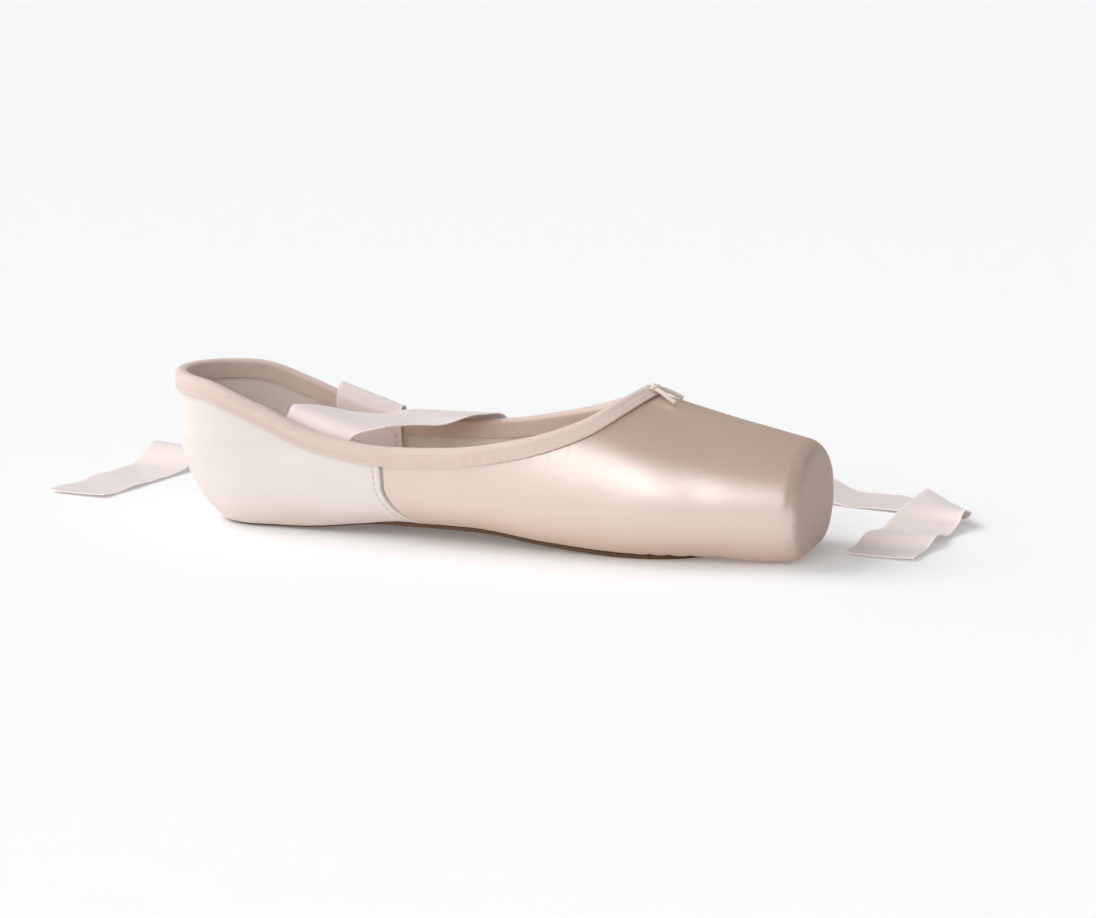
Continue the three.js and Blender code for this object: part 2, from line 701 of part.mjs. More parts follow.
const shoe = new THREE.Group();
shoe.add(piece("outsole", outsoleGeometry(), FINISHES.leather));
shoe.add(piece("upper", upperGeometry(), FINISHES.satin));
shoe.add(piece("insole", insoleGeometry(), FINISHES.canvas));
shoe.add(piece("binding", bindingGeometry(), FINISHES.binding));
shoe.add(piece("drawstring", await drawstringGeometry(), FINISHES.cord));
shoe.children.forEach((mesh) => mesh.geometry.translate(-LENGTH / 2, 0, 0));
shoe.add(piece("ribbon_right", ribbonGeometry(RIGHT_RIBBON), FINISHES.ribbon));
shoe.add(piece("ribbon_left", ribbonGeometry(LEFT_RIBBON), FINISHES.ribbon));

export default shoe;
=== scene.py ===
import math

import bmesh
import bpy
import numpy as np
from mathutils import Matrix, Vector


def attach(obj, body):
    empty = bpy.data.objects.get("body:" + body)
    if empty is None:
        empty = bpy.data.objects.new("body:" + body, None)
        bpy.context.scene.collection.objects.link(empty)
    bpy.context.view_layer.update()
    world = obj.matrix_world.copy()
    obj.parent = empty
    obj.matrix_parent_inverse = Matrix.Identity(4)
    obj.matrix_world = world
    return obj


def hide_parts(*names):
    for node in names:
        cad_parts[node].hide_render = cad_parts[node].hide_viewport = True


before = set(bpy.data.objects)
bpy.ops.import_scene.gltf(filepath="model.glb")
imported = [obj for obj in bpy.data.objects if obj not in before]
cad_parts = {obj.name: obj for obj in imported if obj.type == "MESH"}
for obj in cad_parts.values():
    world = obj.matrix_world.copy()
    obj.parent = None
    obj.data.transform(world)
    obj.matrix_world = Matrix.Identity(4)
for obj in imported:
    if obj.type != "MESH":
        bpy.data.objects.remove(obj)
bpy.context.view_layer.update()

# Driving sizes in millimetres, the same as the solids have. x is from the back of the heel.
LENGTH = 242.0
HEEL_AXIS = 34.0
THROAT = 176.0
TOE_EDGE = 6.0
PLATFORM_DOME = 1.5
PLATFORM_SPAN = 20.0
GAP = 0.3
OUTSOLE_THICK = 1.6
OUTSOLE_MARGIN = 1.5
OUTSOLE_TIP = 210.0
OUTSOLE_TIP_ROUND = 26.0
INSOLE_THICK = 1.5
INSOLE_MARGIN = -0.5
INSOLE_TIP = 222.0
INSOLE_TIP_ROUND = 22.0
FEATHER_SHARE = 0.72
BINDING_THICK = 0.8
BINDING_GAP = 0.5
BINDING_OUTSIDE = 5.8
BINDING_INSIDE = 5.5
KNOT_PLACE = 4.5
STRING_RADIUS = 0.9
RIBBON_WIDTH = 25.0
RIBBON_THICK = 0.5
RIBBON_FLOOR_GAP = 0.1
RIBBON_REACH = 0.5  # rows on each side that a ribbon's direction is taken over

# Shares of a half section, from the middle of its underside to its top
FLAT_SHARE = 0.2
WAIST_SHARE = 0.45
SIDE_TOP = 0.5
TOP_STRIP = 0.06

# Places along the shoe that follow from the sizes
TOE_START = LENGTH - PLATFORM_DOME - TOE_EDGE
TOE_END = TOE_START + TOE_EDGE
SHOE_END = TOE_END + PLATFORM_SPAN
THROAT_CROWD = THROAT - 30
HOLE_TIP = OUTSOLE_TIP - 6
HOLE_CROWD = HOLE_TIP - 8

# Cross-sections of the last, heel to toe
LAST_NAMES = ("x", "half", "flat", "keel", "waist", "crown", "low", "high", "wall")
LAST_ROWS = (
    (HEEL_AXIS, 28.5, 14.5, 1.9, 22.0, 88.0, 2.1, 2.6, 1.6),
    (55, 29.0, 15.0, 2.6, 20.5, 84.0, 2.1, 2.5, 1.6),
    (85, 30.0, 15.5, 5.6, 20.0, 78.0, 2.1, 2.4, 1.6),
    (120, 33.0, 17.5, 5.8, 18.8, 70.0, 2.1, 2.3, 1.7),
    (150, 36.3, 21.5, 3.4, 17.5, 62.0, 2.1, 2.2, 2.0),
    (178, 37.0, 23.0, 1.9, 17.0, 54.0, 2.1, 2.2, 2.4),
    (OUTSOLE_TIP, 32.4, 18.4, 1.9, 17.6, 46.0, 2.1, 2.2, 2.8),
    (226, 29.2, 15.0, 0.7, 18.3, 42.6, 2.1, 2.2, 3.0),
    (LENGTH, 25.5, 11.0, 1.5, 19.0, 39.2, 2.1, 2.2, 3.0),
)
HEEL_BACK = {"half": 34, "flat": 14, "keel": 1.9, "waist": 40, "crown": 88, "low": 1.8, "high": 2.6}

# Edge of the foot opening seen from the side: along the shoe, and height
COLLAR_ROWS = (
    (0, 54.0),
    (18, 53.0),
    (40, 46.2),
    (65, 36.8),
    (90, 33.6),
    (115, 35.0),
    (140, 39.5),
    (162, 46.5),
    (THROAT, 54.5),
)

# Side seam between quarter and vamp: share of the section, and where it is along the shoe
SEAM_REF = 88.4
SEAM_ROWS = (
    (0.10, 110.0),
    (0.20, 105.0),
    (0.28, 100.2),
    (0.36, 94.4),
    (0.45, 90.0),
    (0.56, SEAM_REF),
)

# Ends of the drawstring on the vamp: ahead of the throat, aside from the middle, above the satin
STRING_END = ((4.0, 0.5, 2.7), (7.5, 2.2, 2.6), (10.5, 3.6, 2.0), (13.5, 4.6, 1.3))

# Middle lines of the ribbons, as in the solids: x, y, z, heading across, lean
RIGHT_RIBBON = (
    (-65, -26.0, 24, -3, -14),
    (-61.5, -24.5, 31.3, -3, -17),
    (-58, -23.9, 38.5, -3, -19),
    (-55.5, -21.8, 41.8, -2, -17),
    (-51.5, -15.5, 41.6, 0, -14),
    (-44, -3, 39, 0, -8),
    (-35.5, 11, 37.5, 0, -3),
    (-28.5, 22, 37.7, 3, 0),
    (-23.5, 30.2, 37.5, 4, 0),
    (-20.3, 35.3, 33, 4, 0),
    (-18, 36.4, 24, 2, 0),
    (-14.5, 38.6, 14.5, -4, 0),
    (-10, 42.5, 6.8, -12, 0),
    (-5, 50.5, 2.2, -20, 0),
    (2, 62.5, 0.5, -26, 0),
    (9, 76, 0.4, -28, 0),
    (15.3, 87.7, 0.4, -28, 0),
    (19.5, 95.6, 0.4, -5, 0),
    (23.8, 103.6, 0.4, 12, 0),
    (28, 111.5, 0.4, 24, 0),
    (29.9, 114.4, 1.5, 24, 0),
    (32.6, 115.6, 3.7, 24, 0),
    (36.1, 115.1, 4.8, 24, 0),
    (44.8, 112.9, 5, 36, 0),
    (53.6, 110.7, 4.2, 53, 0),
    (62.3, 108.6, 2.6, 76, 0),
    (74, 105.6, 0.9, 76, 0),
    (89, 101.8, 4, 76, 0),
    (104, 98, 0.6, 76, 0),
    (116.3, 94.9, 0.4, 76, 0),
    (125, 92.8, 0.4, 97, 0),
    (133.8, 90.6, 0.4, 114, 0),
    (142.5, 88.4, 0.4, 126, 0),
    (145.6, 87.3, 1.5, 126, 0),
    (147.2, 85.1, 3.7, 126, 0),
    (147.2, 81.8, 4.8, 126, 0),
    (146.4, 72.8, 5, 137, 0),
    (145.6, 63.9, 4.2, 154, 0),
    (144.9, 54.9, 2.6, 175, 0),
    (143.9, 43, 0.9, 175, 0),
    (142.7, 29, 3.2, 175, 0),
    (141.5, 15, 0.6, 175, 0),
    (140.5, 3, 0.4, 175, 0),
)
LEFT_RIBBON = (
    (-58, 26.0, 23, 3, -16),
    (-58, 24.8, 31, 3, -18),
    (-58, 24.3, 38, 3, -19),
    (-58, 26.8, 42.2, 3, -19),
    (-58.2, 31.4, 41.6, 2, -18),
    (-58.6, 33.8, 36, 0, -17),
    (-59.2, 34.8, 26, 0, -13),
    (-60, 36.8, 15, 2, -7),
    (-61, 41.4, 6.5, 4, -2),
    (-62, 49, 2.2, 5, 0),
    (-63, 62, 0.5, 5, 0),
    (-64.2, 79, 6.5, 5, 0),
    (-65.4, 97, 0.6, 5, 0),
    (-66.2, 110, 0.4, 4, 0),
    (-67.1, 123, 0.4, 4, 0),
    (-67.7, 132, 0.4, -13, 0),
    (-68.4, 141, 0.4, -28, 0),
    (-69, 150, 0.4, -39, 0),
    (-69.5, 152.8, 1.5, -39, 0),
    (-71.1, 154.2, 3.7, -39, 0),
    (-74, 154.1, 4.8, -39, 0),
    (-82.9, 152.8, 5, -50, 0),
    (-91.8, 151.6, 4.2, -65, 0),
    (-100.7, 150.3, 2.6, -82, 0),
    (-111.5, 148.8, 0.8, -82, 0),
    (-121.3, 147.5, 0.4, -82, 0),
    (-130.2, 146.2, 0.4, -106, 0),
    (-139.1, 144.9, 0.4, -124, 0),
    (-148, 143.7, 0.4, -135, 0),
    (-151.5, 142.9, 1.5, -135, 0),
    (-153.7, 140.7, 3.7, -135, 0),
    (-154.5, 137.2, 4.8, -135, 0),
    (-155.8, 128.3, 5, -146, 0),
    (-157, 119.4, 4.2, -164, 0),
    (-158.3, 110.5, 2.6, -188, 0),
    (-160, 98, 0.8, -188, 0),
    (-162, 83, 6.5, -188, 0),
    (-164.2, 67, 0.6, -188, 0),
    (-166.5, 50, 0.4, -188, 0),
    (-169, 32, 0.4, -188, 0),
    (-172, 10, 0.4, -188, 0),
)

MM = 0.001
MIRROR = np.array([1.0, -1.0, 1.0])
ASIDE = np.array([0.0, 1.0, 0.0])


# Curves and the last

def monotone_cubic(xs, ys):
    """Cubic through the points with no bump between two rows, and flat between two equal ones."""
    xs = np.asarray(xs, float)
    ys = np.asarray(ys, float)
    rise = np.diff(ys) / np.diff(xs)
    slope = np.empty_like(ys)
    slope[0] = rise[0]
    slope[-1] = rise[-1]
    before = rise[:-1]
    after = rise[1:]
    same = before * after > 0
    slope[1:-1] = np.where(same, 2 * before * after / np.where(same, before + after, 1), 0)

    def value(x):
        x = np.clip(x, xs[0], xs[-1])
        i = np.clip(np.searchsorted(xs, x, side="right") - 1, 0, len(xs) - 2)
        span = xs[i + 1] - xs[i]
        t = (x - xs[i]) / span
        lead = t * (1 - t) ** 2 * span * slope[i]
        trail = t ** 2 * (1 - t) * span * slope[i + 1]
        return ys[i] + (ys[i + 1] - ys[i]) * t * t * (3 - 2 * t) + lead - trail

    return value


LAST = {
    name: monotone_cubic([row[0] for row in LAST_ROWS], [row[k] for row in LAST_ROWS])
    for k, name in enumerate(LAST_NAMES)
}
COLLAR = monotone_cubic(*zip(*COLLAR_ROWS))
SEAM = monotone_cubic(*zip(*SEAM_ROWS))


def soft_rise(x, start, run):
    """From 0 to 1 with soft ends, over a run that begins at start."""
    x = np.clip((x - start) / run, 0, 1)
    return x * x * (3 - 2 * x)


def ridge(x, height, place, half):
    """A soft ridge at a place. half is how wide it is on each side."""
    return height * np.exp(-((x - place) / half) ** 2)


def unit(vectors):
    return vectors / np.maximum(np.linalg.norm(vectors, axis=-1, keepdims=True), 1e-12)


def run_length(points):
    """Distance from the first point along a line of points."""
    return np.concatenate([[0], np.cumsum(np.linalg.norm(np.diff(points, axis=0), axis=-1))])


def catmull(rows, t):
    """Smooth curve through rows of numbers at the row numbers t."""
    rows = np.asarray(rows, float)
    last = len(rows) - 1
    i = np.minimum(np.floor(t).astype(int), last - 1)
    f = (t - i)[:, None]
    a, b, c, d = (rows[np.clip(i + k, 0, last)] for k in (-1, 0, 1, 2))
    return b + 0.5 * f * (c - a + f * (2 * a - 5 * b + 4 * c - d + f * (3 * (b - c) + d - a)))


def profile(section, v, inset=0.0):
    """How far out and how high a half section is at v, from the middle of its underside to its top."""
    half = section["half"] - inset
    keel = section["keel"] + inset
    crown = section["crown"] - inset
    flat = np.maximum(section["flat"] - inset, 1.0)
    waist = section["waist"]
    low = np.clip((v - FLAT_SHARE) / (WAIST_SHARE - FLAT_SHARE), 0, 1) * math.pi / 2
    high = np.clip((v - WAIST_SHARE) / (1 - WAIST_SHARE), 0, 1) * math.pi / 2
    low_out = flat + (half - flat) * np.sin(low) ** (2 / section["low"])
    low_z = waist - (waist - keel) * np.maximum(np.cos(low), 0) ** (2 / section["low"])
    high_out = half * np.maximum(np.cos(high), 0) ** (2 / section["high"])
    high_z = waist + (crown - waist) * np.sin(high) ** (2 / section["high"])
    out = np.where(v <= FLAT_SHARE, flat * v / FLAT_SHARE, np.where(v <= WAIST_SHARE, low_out, high_out))
    z = np.where(v <= WAIST_SHARE, low_z, high_z)
    return out, z


def last_point(u, v):
    """Points of the last's right half, in millimetres from the back of the heel."""
    u, v = np.broadcast_arrays(np.asarray(u, float), np.asarray(v, float))
    turn = np.clip(1 - u / HEEL_AXIS, 0, 1) * math.pi / 2
    edge = np.clip((u - TOE_START) / TOE_EDGE, 0, 1) * math.pi / 2
    shrink = np.clip(1 - (u - TOE_END) / PLATFORM_SPAN, 0, 1)
    x = np.clip(u, HEEL_AXIS, TOE_START) + TOE_EDGE * np.sin(edge)
    section = {name: LAST[name](x) for name in LAST_NAMES}
    out, z = profile(section, v, TOE_EDGE * (1 - np.cos(edge)))
    reach, back_z = profile(HEEL_BACK, v)
    share = np.sin(turn) ** 2
    ahead = x + PLATFORM_DOME * (1 - shrink ** 2)
    return np.stack([
        np.where(u < HEEL_AXIS, HEEL_AXIS - reach * np.sin(turn), ahead),
        -out * np.cos(turn) * shrink,
        np.where(u < HEEL_AXIS, z * (1 - share) + back_z * share,
                 section["waist"] + (z - section["waist"]) * shrink),
    ], axis=-1)


# Steps over which the surface's slopes are measured, and the end of the shoe where they aren't
STEP_U = 0.05
STEP_V = 0.002
BLUNT_END = SHOE_END - 0.5


def last_slopes(u, v):
    """How a point of the last moves with u and with v."""
    u = np.clip(u, STEP_U, BLUNT_END)
    v = np.clip(v, STEP_V, 1 - STEP_V)
    along = (last_point(u + STEP_U, v) - last_point(u - STEP_U, v)) / (2 * STEP_U)
    across = (last_point(u, v + STEP_V) - last_point(u, v - STEP_V)) / (2 * STEP_V)
    return along, across


def last_normal(u, v):
    u, v = np.broadcast_arrays(np.asarray(u, float), np.asarray(v, float))
    along, across = last_slopes(u, v)
    normal = np.cross(along, across)
    middle = (v <= 0) | (v >= 1) | (u <= 0)
    normal[..., 1] = np.where(middle, 0, normal[..., 1])
    normal = np.where((u > BLUNT_END)[..., None], np.array([1.0, 0, 0]), normal)
    return unit(normal)


def off_last(u, v, height):
    """Points at a height over the last."""
    return last_point(u, v) + last_normal(u, v) * np.asarray(height)[..., None]


def step_on_last(u, v, direction, distance):
    """Where a short step over the last's surface ends."""
    along, across = last_slopes(u, v)
    uu = np.sum(along * along, axis=-1)
    uv = np.sum(along * across, axis=-1)
    vv = np.sum(across * across, axis=-1)
    p = np.sum(along * direction, axis=-1) * distance
    q = np.sum(across * direction, axis=-1) * distance
    det = uu * vv - uv * uv
    return u + (p * vv - q * uv) / det, np.minimum(v + (uu * q - uv * p) / det, 1)


HALVINGS = 50


def collar_v(u):
    """Where the foot opening cuts the section at u."""
    u = np.asarray(u, float)
    low = np.full(u.shape, WAIST_SHARE)
    high = np.ones(u.shape)
    for _ in range(HALVINGS):
        middle = (low + high) / 2
        point = last_point(u, middle)
        below = point[..., 2] < COLLAR(point[..., 0])
        low = np.where(below, middle, low)
        high = np.where(below, high, middle)
    return np.where(u >= THROAT, 1.0, (low + high) / 2)


def tip_share(u, tip, length):
    t = np.clip((u - (tip - length)) / length, 0, 1)
    return np.sqrt(1 - t * t)


def feather_v(u):
    """Where the hole under the upper begins."""
    return FLAT_SHARE * FEATHER_SHARE * tip_share(u, HOLE_TIP, OUTSOLE_TIP_ROUND)


def ease_to(a, b, count):
    return b - (b - a) * (1 - np.arange(1, count + 1) / count) ** 2


def even_to(a, b, count):
    return a + (b - a) * np.arange(1, count + 1) / count


def run_stations(start, runs):
    """Stations along the shoe: the first ones, and then runs, each with its end, count and spacing."""
    stations = np.atleast_1d(np.asarray(start, float))
    for end, count, spacing in runs:
        stations = np.concatenate([stations, spacing(stations[-1], end, count)])
    return stations


def front_runs(*counts):
    """As many runs forward as there are counts, closer together before the throat and the hole's tip."""
    ends = (THROAT_CROWD, THROAT, HOLE_CROWD, HOLE_TIP, TOE_START, TOE_END, SHOE_END)
    spacings = (even_to, ease_to, even_to, ease_to, even_to, even_to, even_to)
    return zip(ends, counts, spacings)


# Meshes

SHARP_ANGLE = 50.0
MERGE_DIGITS = 4  # of millimetres, to which points that coincide are the same


def make_object(name, points, faces, material, uvs=None, mark=None, shift=-LENGTH / 2):
    """A mesh object in metres from points in millimetres. Points that coincide are merged.

    mark is a number at each point that its material can read, such as how near a seam is.
    """
    points = np.asarray(points, float)
    uvs = points[:, :2] if uvs is None else uvs
    points = points + np.array([shift, 0, 0])
    rounded = np.round(points, MERGE_DIGITS)
    _, first, back = np.unique(rounded, axis=0, return_index=True, return_inverse=True)
    back = back.reshape(-1)
    polygons = []
    corners = []
    for face in faces:
        ring = {}
        for i in face:
            ring.setdefault(int(back[i]), i)
        if len(ring) > 2:
            polygons.append(list(ring))
            corners.extend(ring.values())
    mesh = bpy.data.meshes.new(name)
    mesh.from_pydata((points[first] * MM).tolist(), [], polygons)
    layer = mesh.uv_layers.new(name="UVMap")
    layer.data.foreach_set("uv", (uvs[corners] * MM).ravel())
    if mark is not None:
        values = mesh.attributes.new(name="mark", type="FLOAT", domain="POINT")
        values.data.foreach_set("value", mark[first])
    mesh.validate()
    shape = bmesh.new()
    shape.from_mesh(mesh)
    bmesh.ops.recalc_face_normals(shape, faces=shape.faces)
    shape.to_mesh(mesh)
    shape.free()
    mesh.update()
    mesh.polygons.foreach_set("use_smooth", [True] * len(mesh.polygons))
    mesh.set_sharp_from_angle(angle=math.radians(SHARP_ANGLE))
    mesh.materials.append(material)
    obj = bpy.data.objects.new(name, mesh)
    bpy.context.collection.objects.link(obj)
    return obj


def grid_faces(rows, columns, closed=False):
    """Quads of a grid of points; closed joins the last column to the first."""
    faces = []
    for a in range(0, (rows - 1) * columns, columns):
        b = a + columns
        for j in range(columns if closed else columns - 1):
            k = (j + 1) % columns
            faces.append((a + j, b + j, b + k, a + k))
    return faces


def turned(faces, count):
    """The same faces turned over, on points that come count places later."""
    return [tuple(i + count for i in reversed(face)) for face in faces]


def row_path(i, columns):
    return [(i, j) for j in range(columns)]


def column_path(j, last_row):
    return [(i, j) for i in range(last_row + 1)]


def half_shell(outer, inner, uv, rims):
    """Points, faces and UVs of a shell between two grids. rims lists index paths that close it."""
    rows, columns = outer.shape[:2]
    count = rows * columns
    points = np.concatenate([outer.reshape(-1, 3), inner.reshape(-1, 3)])
    uvs = np.concatenate([uv.reshape(-1, 2), uv.reshape(-1, 2)])
    faces = grid_faces(rows, columns)
    faces += turned(faces, count)
    for path in rims:
        for (i, j), (k, m) in zip(path, path[1:]):
            a = i * columns + j
            b = k * columns + m
            faces.append((a, a + count, b + count, b))
    return points, faces, uvs


def both_halves(points, faces):
    """Points and faces of a right half and of its mirror image."""
    return np.concatenate([points, points * MIRROR]), faces + turned(faces, len(points))


def tube(points, radius, sides):
    """Points and faces of a round cord along a line of points, closed by a ring of no size at each end."""
    points = np.asarray(points, float)
    tangent = unit(np.gradient(points, axis=0))
    side = np.cross(tangent[0], [0, 0, 1.0])
    if np.linalg.norm(side) < 0.1:
        side = np.cross(tangent[0], ASIDE)
    angle = (np.arange(sides) * 2 * math.pi / sides)[:, None]
    rings = [np.repeat(points[:1], sides, axis=0)]
    for point, ahead in zip(points, tangent):
        side = unit(side - ahead * np.dot(side, ahead))
        up = np.cross(ahead, side)
        rings.append(point + radius * (np.cos(angle) * side + np.sin(angle) * up))
    rings.append(np.repeat(points[-1:], sides, axis=0))
    return np.concatenate(rings), grid_faces(len(rings), sides, closed=True)


def join_parts(parts):
    """One list of points and faces from several."""
    points = []
    faces = []
    count = 0
    for part_points, part_faces in parts:
        points.append(part_points)
        faces += [tuple(i + count for i in face) for face in part_faces]
        count += len(part_points)
    return np.concatenate(points), faces


STITCH_POINTS = 6
STITCH_SIDES = 6
STITCH_LIFT = 1.1  # of its middle over the cloth, in radii
STITCH_BOW = 5.0
BINDING_STITCH = (2.6, 1.7, 0.17)  # pitch, length and radius
SEAM_STITCH = (2.0, 1.3, 0.13)
RIBBON_STITCH = (2.2, 1.4, 0.16)


def at_distance(values, total, distance):
    return np.stack([np.interp(distance, total, values[:, k]) for k in range(3)], axis=-1)


def sewn_object(name, lines, facings, stitch, material, shift=-LENGTH / 2):
    """Short bowed threads along lines of points, with the direction that each line faces."""
    pitch, length, radius = stitch
    parts = []
    bow = np.linspace(-0.5, 0.5, STITCH_POINTS)
    for points, facing in zip(lines, facings):
        total = run_length(points)
        count = int(total[-1] / pitch)
        for place in (np.arange(count) + 0.5) * total[-1] / count:
            line = at_distance(points, total, place + bow * length)
            out = at_distance(facing, total, place)
            line = line + out * (radius * (STITCH_LIFT - STITCH_BOW * bow ** 2))[:, None]
            parts.append(tube(line, radius, STITCH_SIDES))
    return make_object(name, *join_parts(parts), material, shift=shift)


def both_sides(values):
    return [values, values * MIRROR]


# Nodes of materials and of the world

class Nodes:
    """A short way to write the nodes of a material or a world. at has the places that textures read."""

    def __init__(self, owner):
        owner.use_nodes = True
        self.owner = owner
        self.tree = owner.node_tree
        self.at = self.add("ShaderNodeTexCoord", {}).outputs

    def feed(self, socket, value):
        """Links a socket to another, or gives it a number, a vector or a colour."""
        if isinstance(value, bpy.types.NodeSocket):
            self.tree.links.new(value, socket)
        else:
            socket.default_value = (*value, 1.0) if socket.type == "RGBA" else value

    def add(self, kind, values, **settings):
        node = self.tree.nodes.new(kind)
        for key, value in settings.items():
            setattr(node, key, value)
        for key, value in values.items():
            self.feed(node.inputs[key], value)
        return node

    def part(self, vector, axis):
        return self.add("ShaderNodeSeparateXYZ", {0: vector}).outputs[axis]

    def noise(self, vector, scale, detail, roughness=0.55):
        """Soft noise. A scale of two numbers, along and across, stretches it."""
        if isinstance(scale, tuple):
            vector = self.add("ShaderNodeMapping", {"Vector": vector, "Scale": (*scale, 1.0)}).outputs[0]
            scale = 1.0
        values = {"Vector": vector, "Scale": scale, "Detail": detail, "Roughness": roughness}
        return self.add("ShaderNodeTexNoise", values).outputs["Fac"]

    def wave(self, vector, scale, distortion, direction):
        values = {"Vector": vector, "Scale": scale, "Distortion": distortion, "Detail": 1.0}
        return self.add("ShaderNodeTexWave", values, bands_direction=direction).outputs["Fac"]

    def math(self, operation, *values):
        return self.add("ShaderNodeMath", dict(enumerate(values)), operation=operation).outputs[0]

    def times(self, a, b):
        return self.math("MULTIPLY", a, b)

    def plus(self, a, b, share=1.0):
        """a with a share of b added."""
        return self.math("MULTIPLY_ADD", b, share, a)

    def fade(self, value, none_at, full_at):
        """From 0 to 1 between two values."""
        return self.add("ShaderNodeMapRange", {0: value, 1: none_at, 2: full_at}).outputs[0]

    def mix(self, factor, a, b, share=1.0):
        """From a towards b by a share of the factor."""
        values = {0: self.times(factor, share), 6: a, 7: b}
        return self.add("ShaderNodeMix", values, data_type="RGBA").outputs[2]

    def mark(self):
        return self.add("ShaderNodeAttribute", {}, attribute_name="mark").outputs["Fac"]

    def finish(self, relief=None, strength=0.0, distance=0.0002, **values):
        """Sets the shader's values and a relief, whose distance is in metres. Returns the material."""
        shader = self.tree.nodes["Principled BSDF"]
        if relief is not None:
            heights = {"Height": relief, "Strength": strength, "Distance": distance}
            values["Normal"] = self.add("ShaderNodeBump", heights).outputs["Normal"]
        for key, value in values.items():
            self.feed(shader.inputs[key.replace("_", " ")], value)
        return self.owner


def new_material(name):
    return Nodes(bpy.data.materials.new(name))


def linear(*shown):
    """Linear colour from the 0 to 255 values that a picture shows."""
    shares = [value / 255 for value in shown]
    return tuple(s / 12.92 if s <= 0.04045 else ((s + 0.055) / 1.055) ** 2.4 for s in shares)


def shaded(colour, share):
    return tuple(min(1.0, value * share) for value in colour)


# Materials. Scales are counted to a metre, along a piece and across it, and soil with painted shade is placed
# in metres.

# Painted shadow that darkens the satin in the seams' grooves
SEAM_PAINTED_SHADOW = linear(150, 132, 118)


def satin_material(name, colour, shade, soil_and_painted_shade, least_rough, gloss):
    """Satin: long fine floats along the shoe, a soft white gloss, and a little unevenness in its colour.

    The mesh's mark darkens it to a painted shadow in the seam's groove. Near the floor and on the toe's end
    it is dull, and darker with soil and painted shade.
    """
    nodes = new_material(name)
    uv = nodes.at["UV"]
    place = nodes.at["Object"]
    floats = nodes.noise(uv, scale=(500.0, 7000.0), detail=2.0)
    slubs = nodes.noise(uv, scale=(60.0, 1500.0), detail=3.0)
    bands = nodes.noise(uv, scale=(9.0, 190.0), detail=2.0)
    clouds = nodes.noise(place, scale=30.0, detail=3.0)
    streaks = nodes.plus(floats, slubs)
    tone = nodes.mix(nodes.fade(clouds, none_at=0.35, full_at=0.72), colour, shade)
    tone = nodes.mix(nodes.fade(bands, none_at=0.4, full_at=0.65), tone, shade, share=0.5)
    tone = nodes.mix(streaks, tone, shade, share=0.18)
    rags = nodes.noise(place, scale=240.0, detail=4.0)
    low = nodes.fade(nodes.plus(nodes.part(place, "Z"), rags, share=0.006), none_at=0.020, full_at=0.003)
    end = nodes.fade(nodes.plus(nodes.part(place, "X"), rags, share=0.0018), none_at=0.117, full_at=0.119)
    # Darker near the floor, and darker still on the toe's end, which faces away from the light: soil and
    # painted shade
    tone = nodes.mix(low, tone, soil_and_painted_shade, share=0.65)
    tone = nodes.mix(end, tone, shaded(soil_and_painted_shade, share=0.78), share=0.95)
    rough = nodes.plus(least_rough, streaks, share=0.048)
    rough = nodes.plus(rough, bands, share=0.1)
    rough = nodes.plus(rough, nodes.math("MAXIMUM", low, end), share=0.4)
    return nodes.finish(
        relief=nodes.plus(floats, slubs, share=1.2), strength=0.11,
        Base_Color=nodes.mix(nodes.mark(), tone, SEAM_PAINTED_SHADOW), Roughness=rough,
        IOR=2.4, Specular_IOR_Level=gloss, Sheen_Weight=0.1, Sheen_Roughness=0.4)


def canvas_material(name, colour, shade):
    """Plain cotton weave."""
    nodes = new_material(name)
    warp, weft = (nodes.wave(nodes.at["UV"], scale=700.0, distortion=0.4, direction=axis) for axis in "XY")
    weave = nodes.times(warp, weft)
    clouds = nodes.noise(nodes.at["Object"], scale=60.0, detail=4.0)
    return nodes.finish(
        relief=nodes.plus(weave, clouds, share=1.2), strength=0.35, distance=0.0003,
        Base_Color=nodes.mix(weave, nodes.mix(clouds, colour, shade), shade, share=0.3),
        Roughness=0.9, Sheen_Weight=0.2, Specular_IOR_Level=0.25)


def tape_material(name, colour, shade):
    """Cotton tape with fine ribs across its length."""
    nodes = new_material(name)
    ribs = nodes.wave(nodes.at["UV"], scale=420.0, distortion=0.6, direction="X")
    fibres = nodes.noise(nodes.at["UV"], scale=(2500.0, 6000.0), detail=3.0)
    clouds = nodes.noise(nodes.at["Object"], scale=90.0, detail=3.0)
    return nodes.finish(
        relief=nodes.plus(ribs, fibres, share=0.6), strength=0.4,
        Base_Color=nodes.mix(fibres, nodes.mix(clouds, colour, shade), shade, share=0.35),
        Roughness=0.75, Sheen_Weight=0.3, Specular_IOR_Level=0.3)


def ribbon_material(name, colour, shade):
    """Satin ribbon: floats along its length, with a plain firm edge on each side."""
    nodes = new_material(name)
    uv = nodes.at["UV"]
    half = RIBBON_WIDTH / 2 * MM
    floats = nodes.noise(uv, scale=(700.0, 9000.0), detail=2.0)
    from_middle = nodes.math("ABSOLUTE", nodes.part(uv, "Y"))
    edge = nodes.fade(from_middle, none_at=half * 0.90, full_at=half * 0.93)
    tone = nodes.mix(floats, colour, shade, share=0.35)
    cords = nodes.times(nodes.wave(uv, scale=900.0, distortion=0.0, direction="X"), edge)
    return nodes.finish(
        relief=nodes.plus(floats, cords, share=1.5), strength=0.15,
        Base_Color=nodes.mix(edge, tone, shaded(colour, share=1.06)),
        Roughness=nodes.plus(0.3, edge, share=0.2),
        Sheen_Weight=0.6, Sheen_Roughness=0.4, Specular_IOR_Level=0.5)


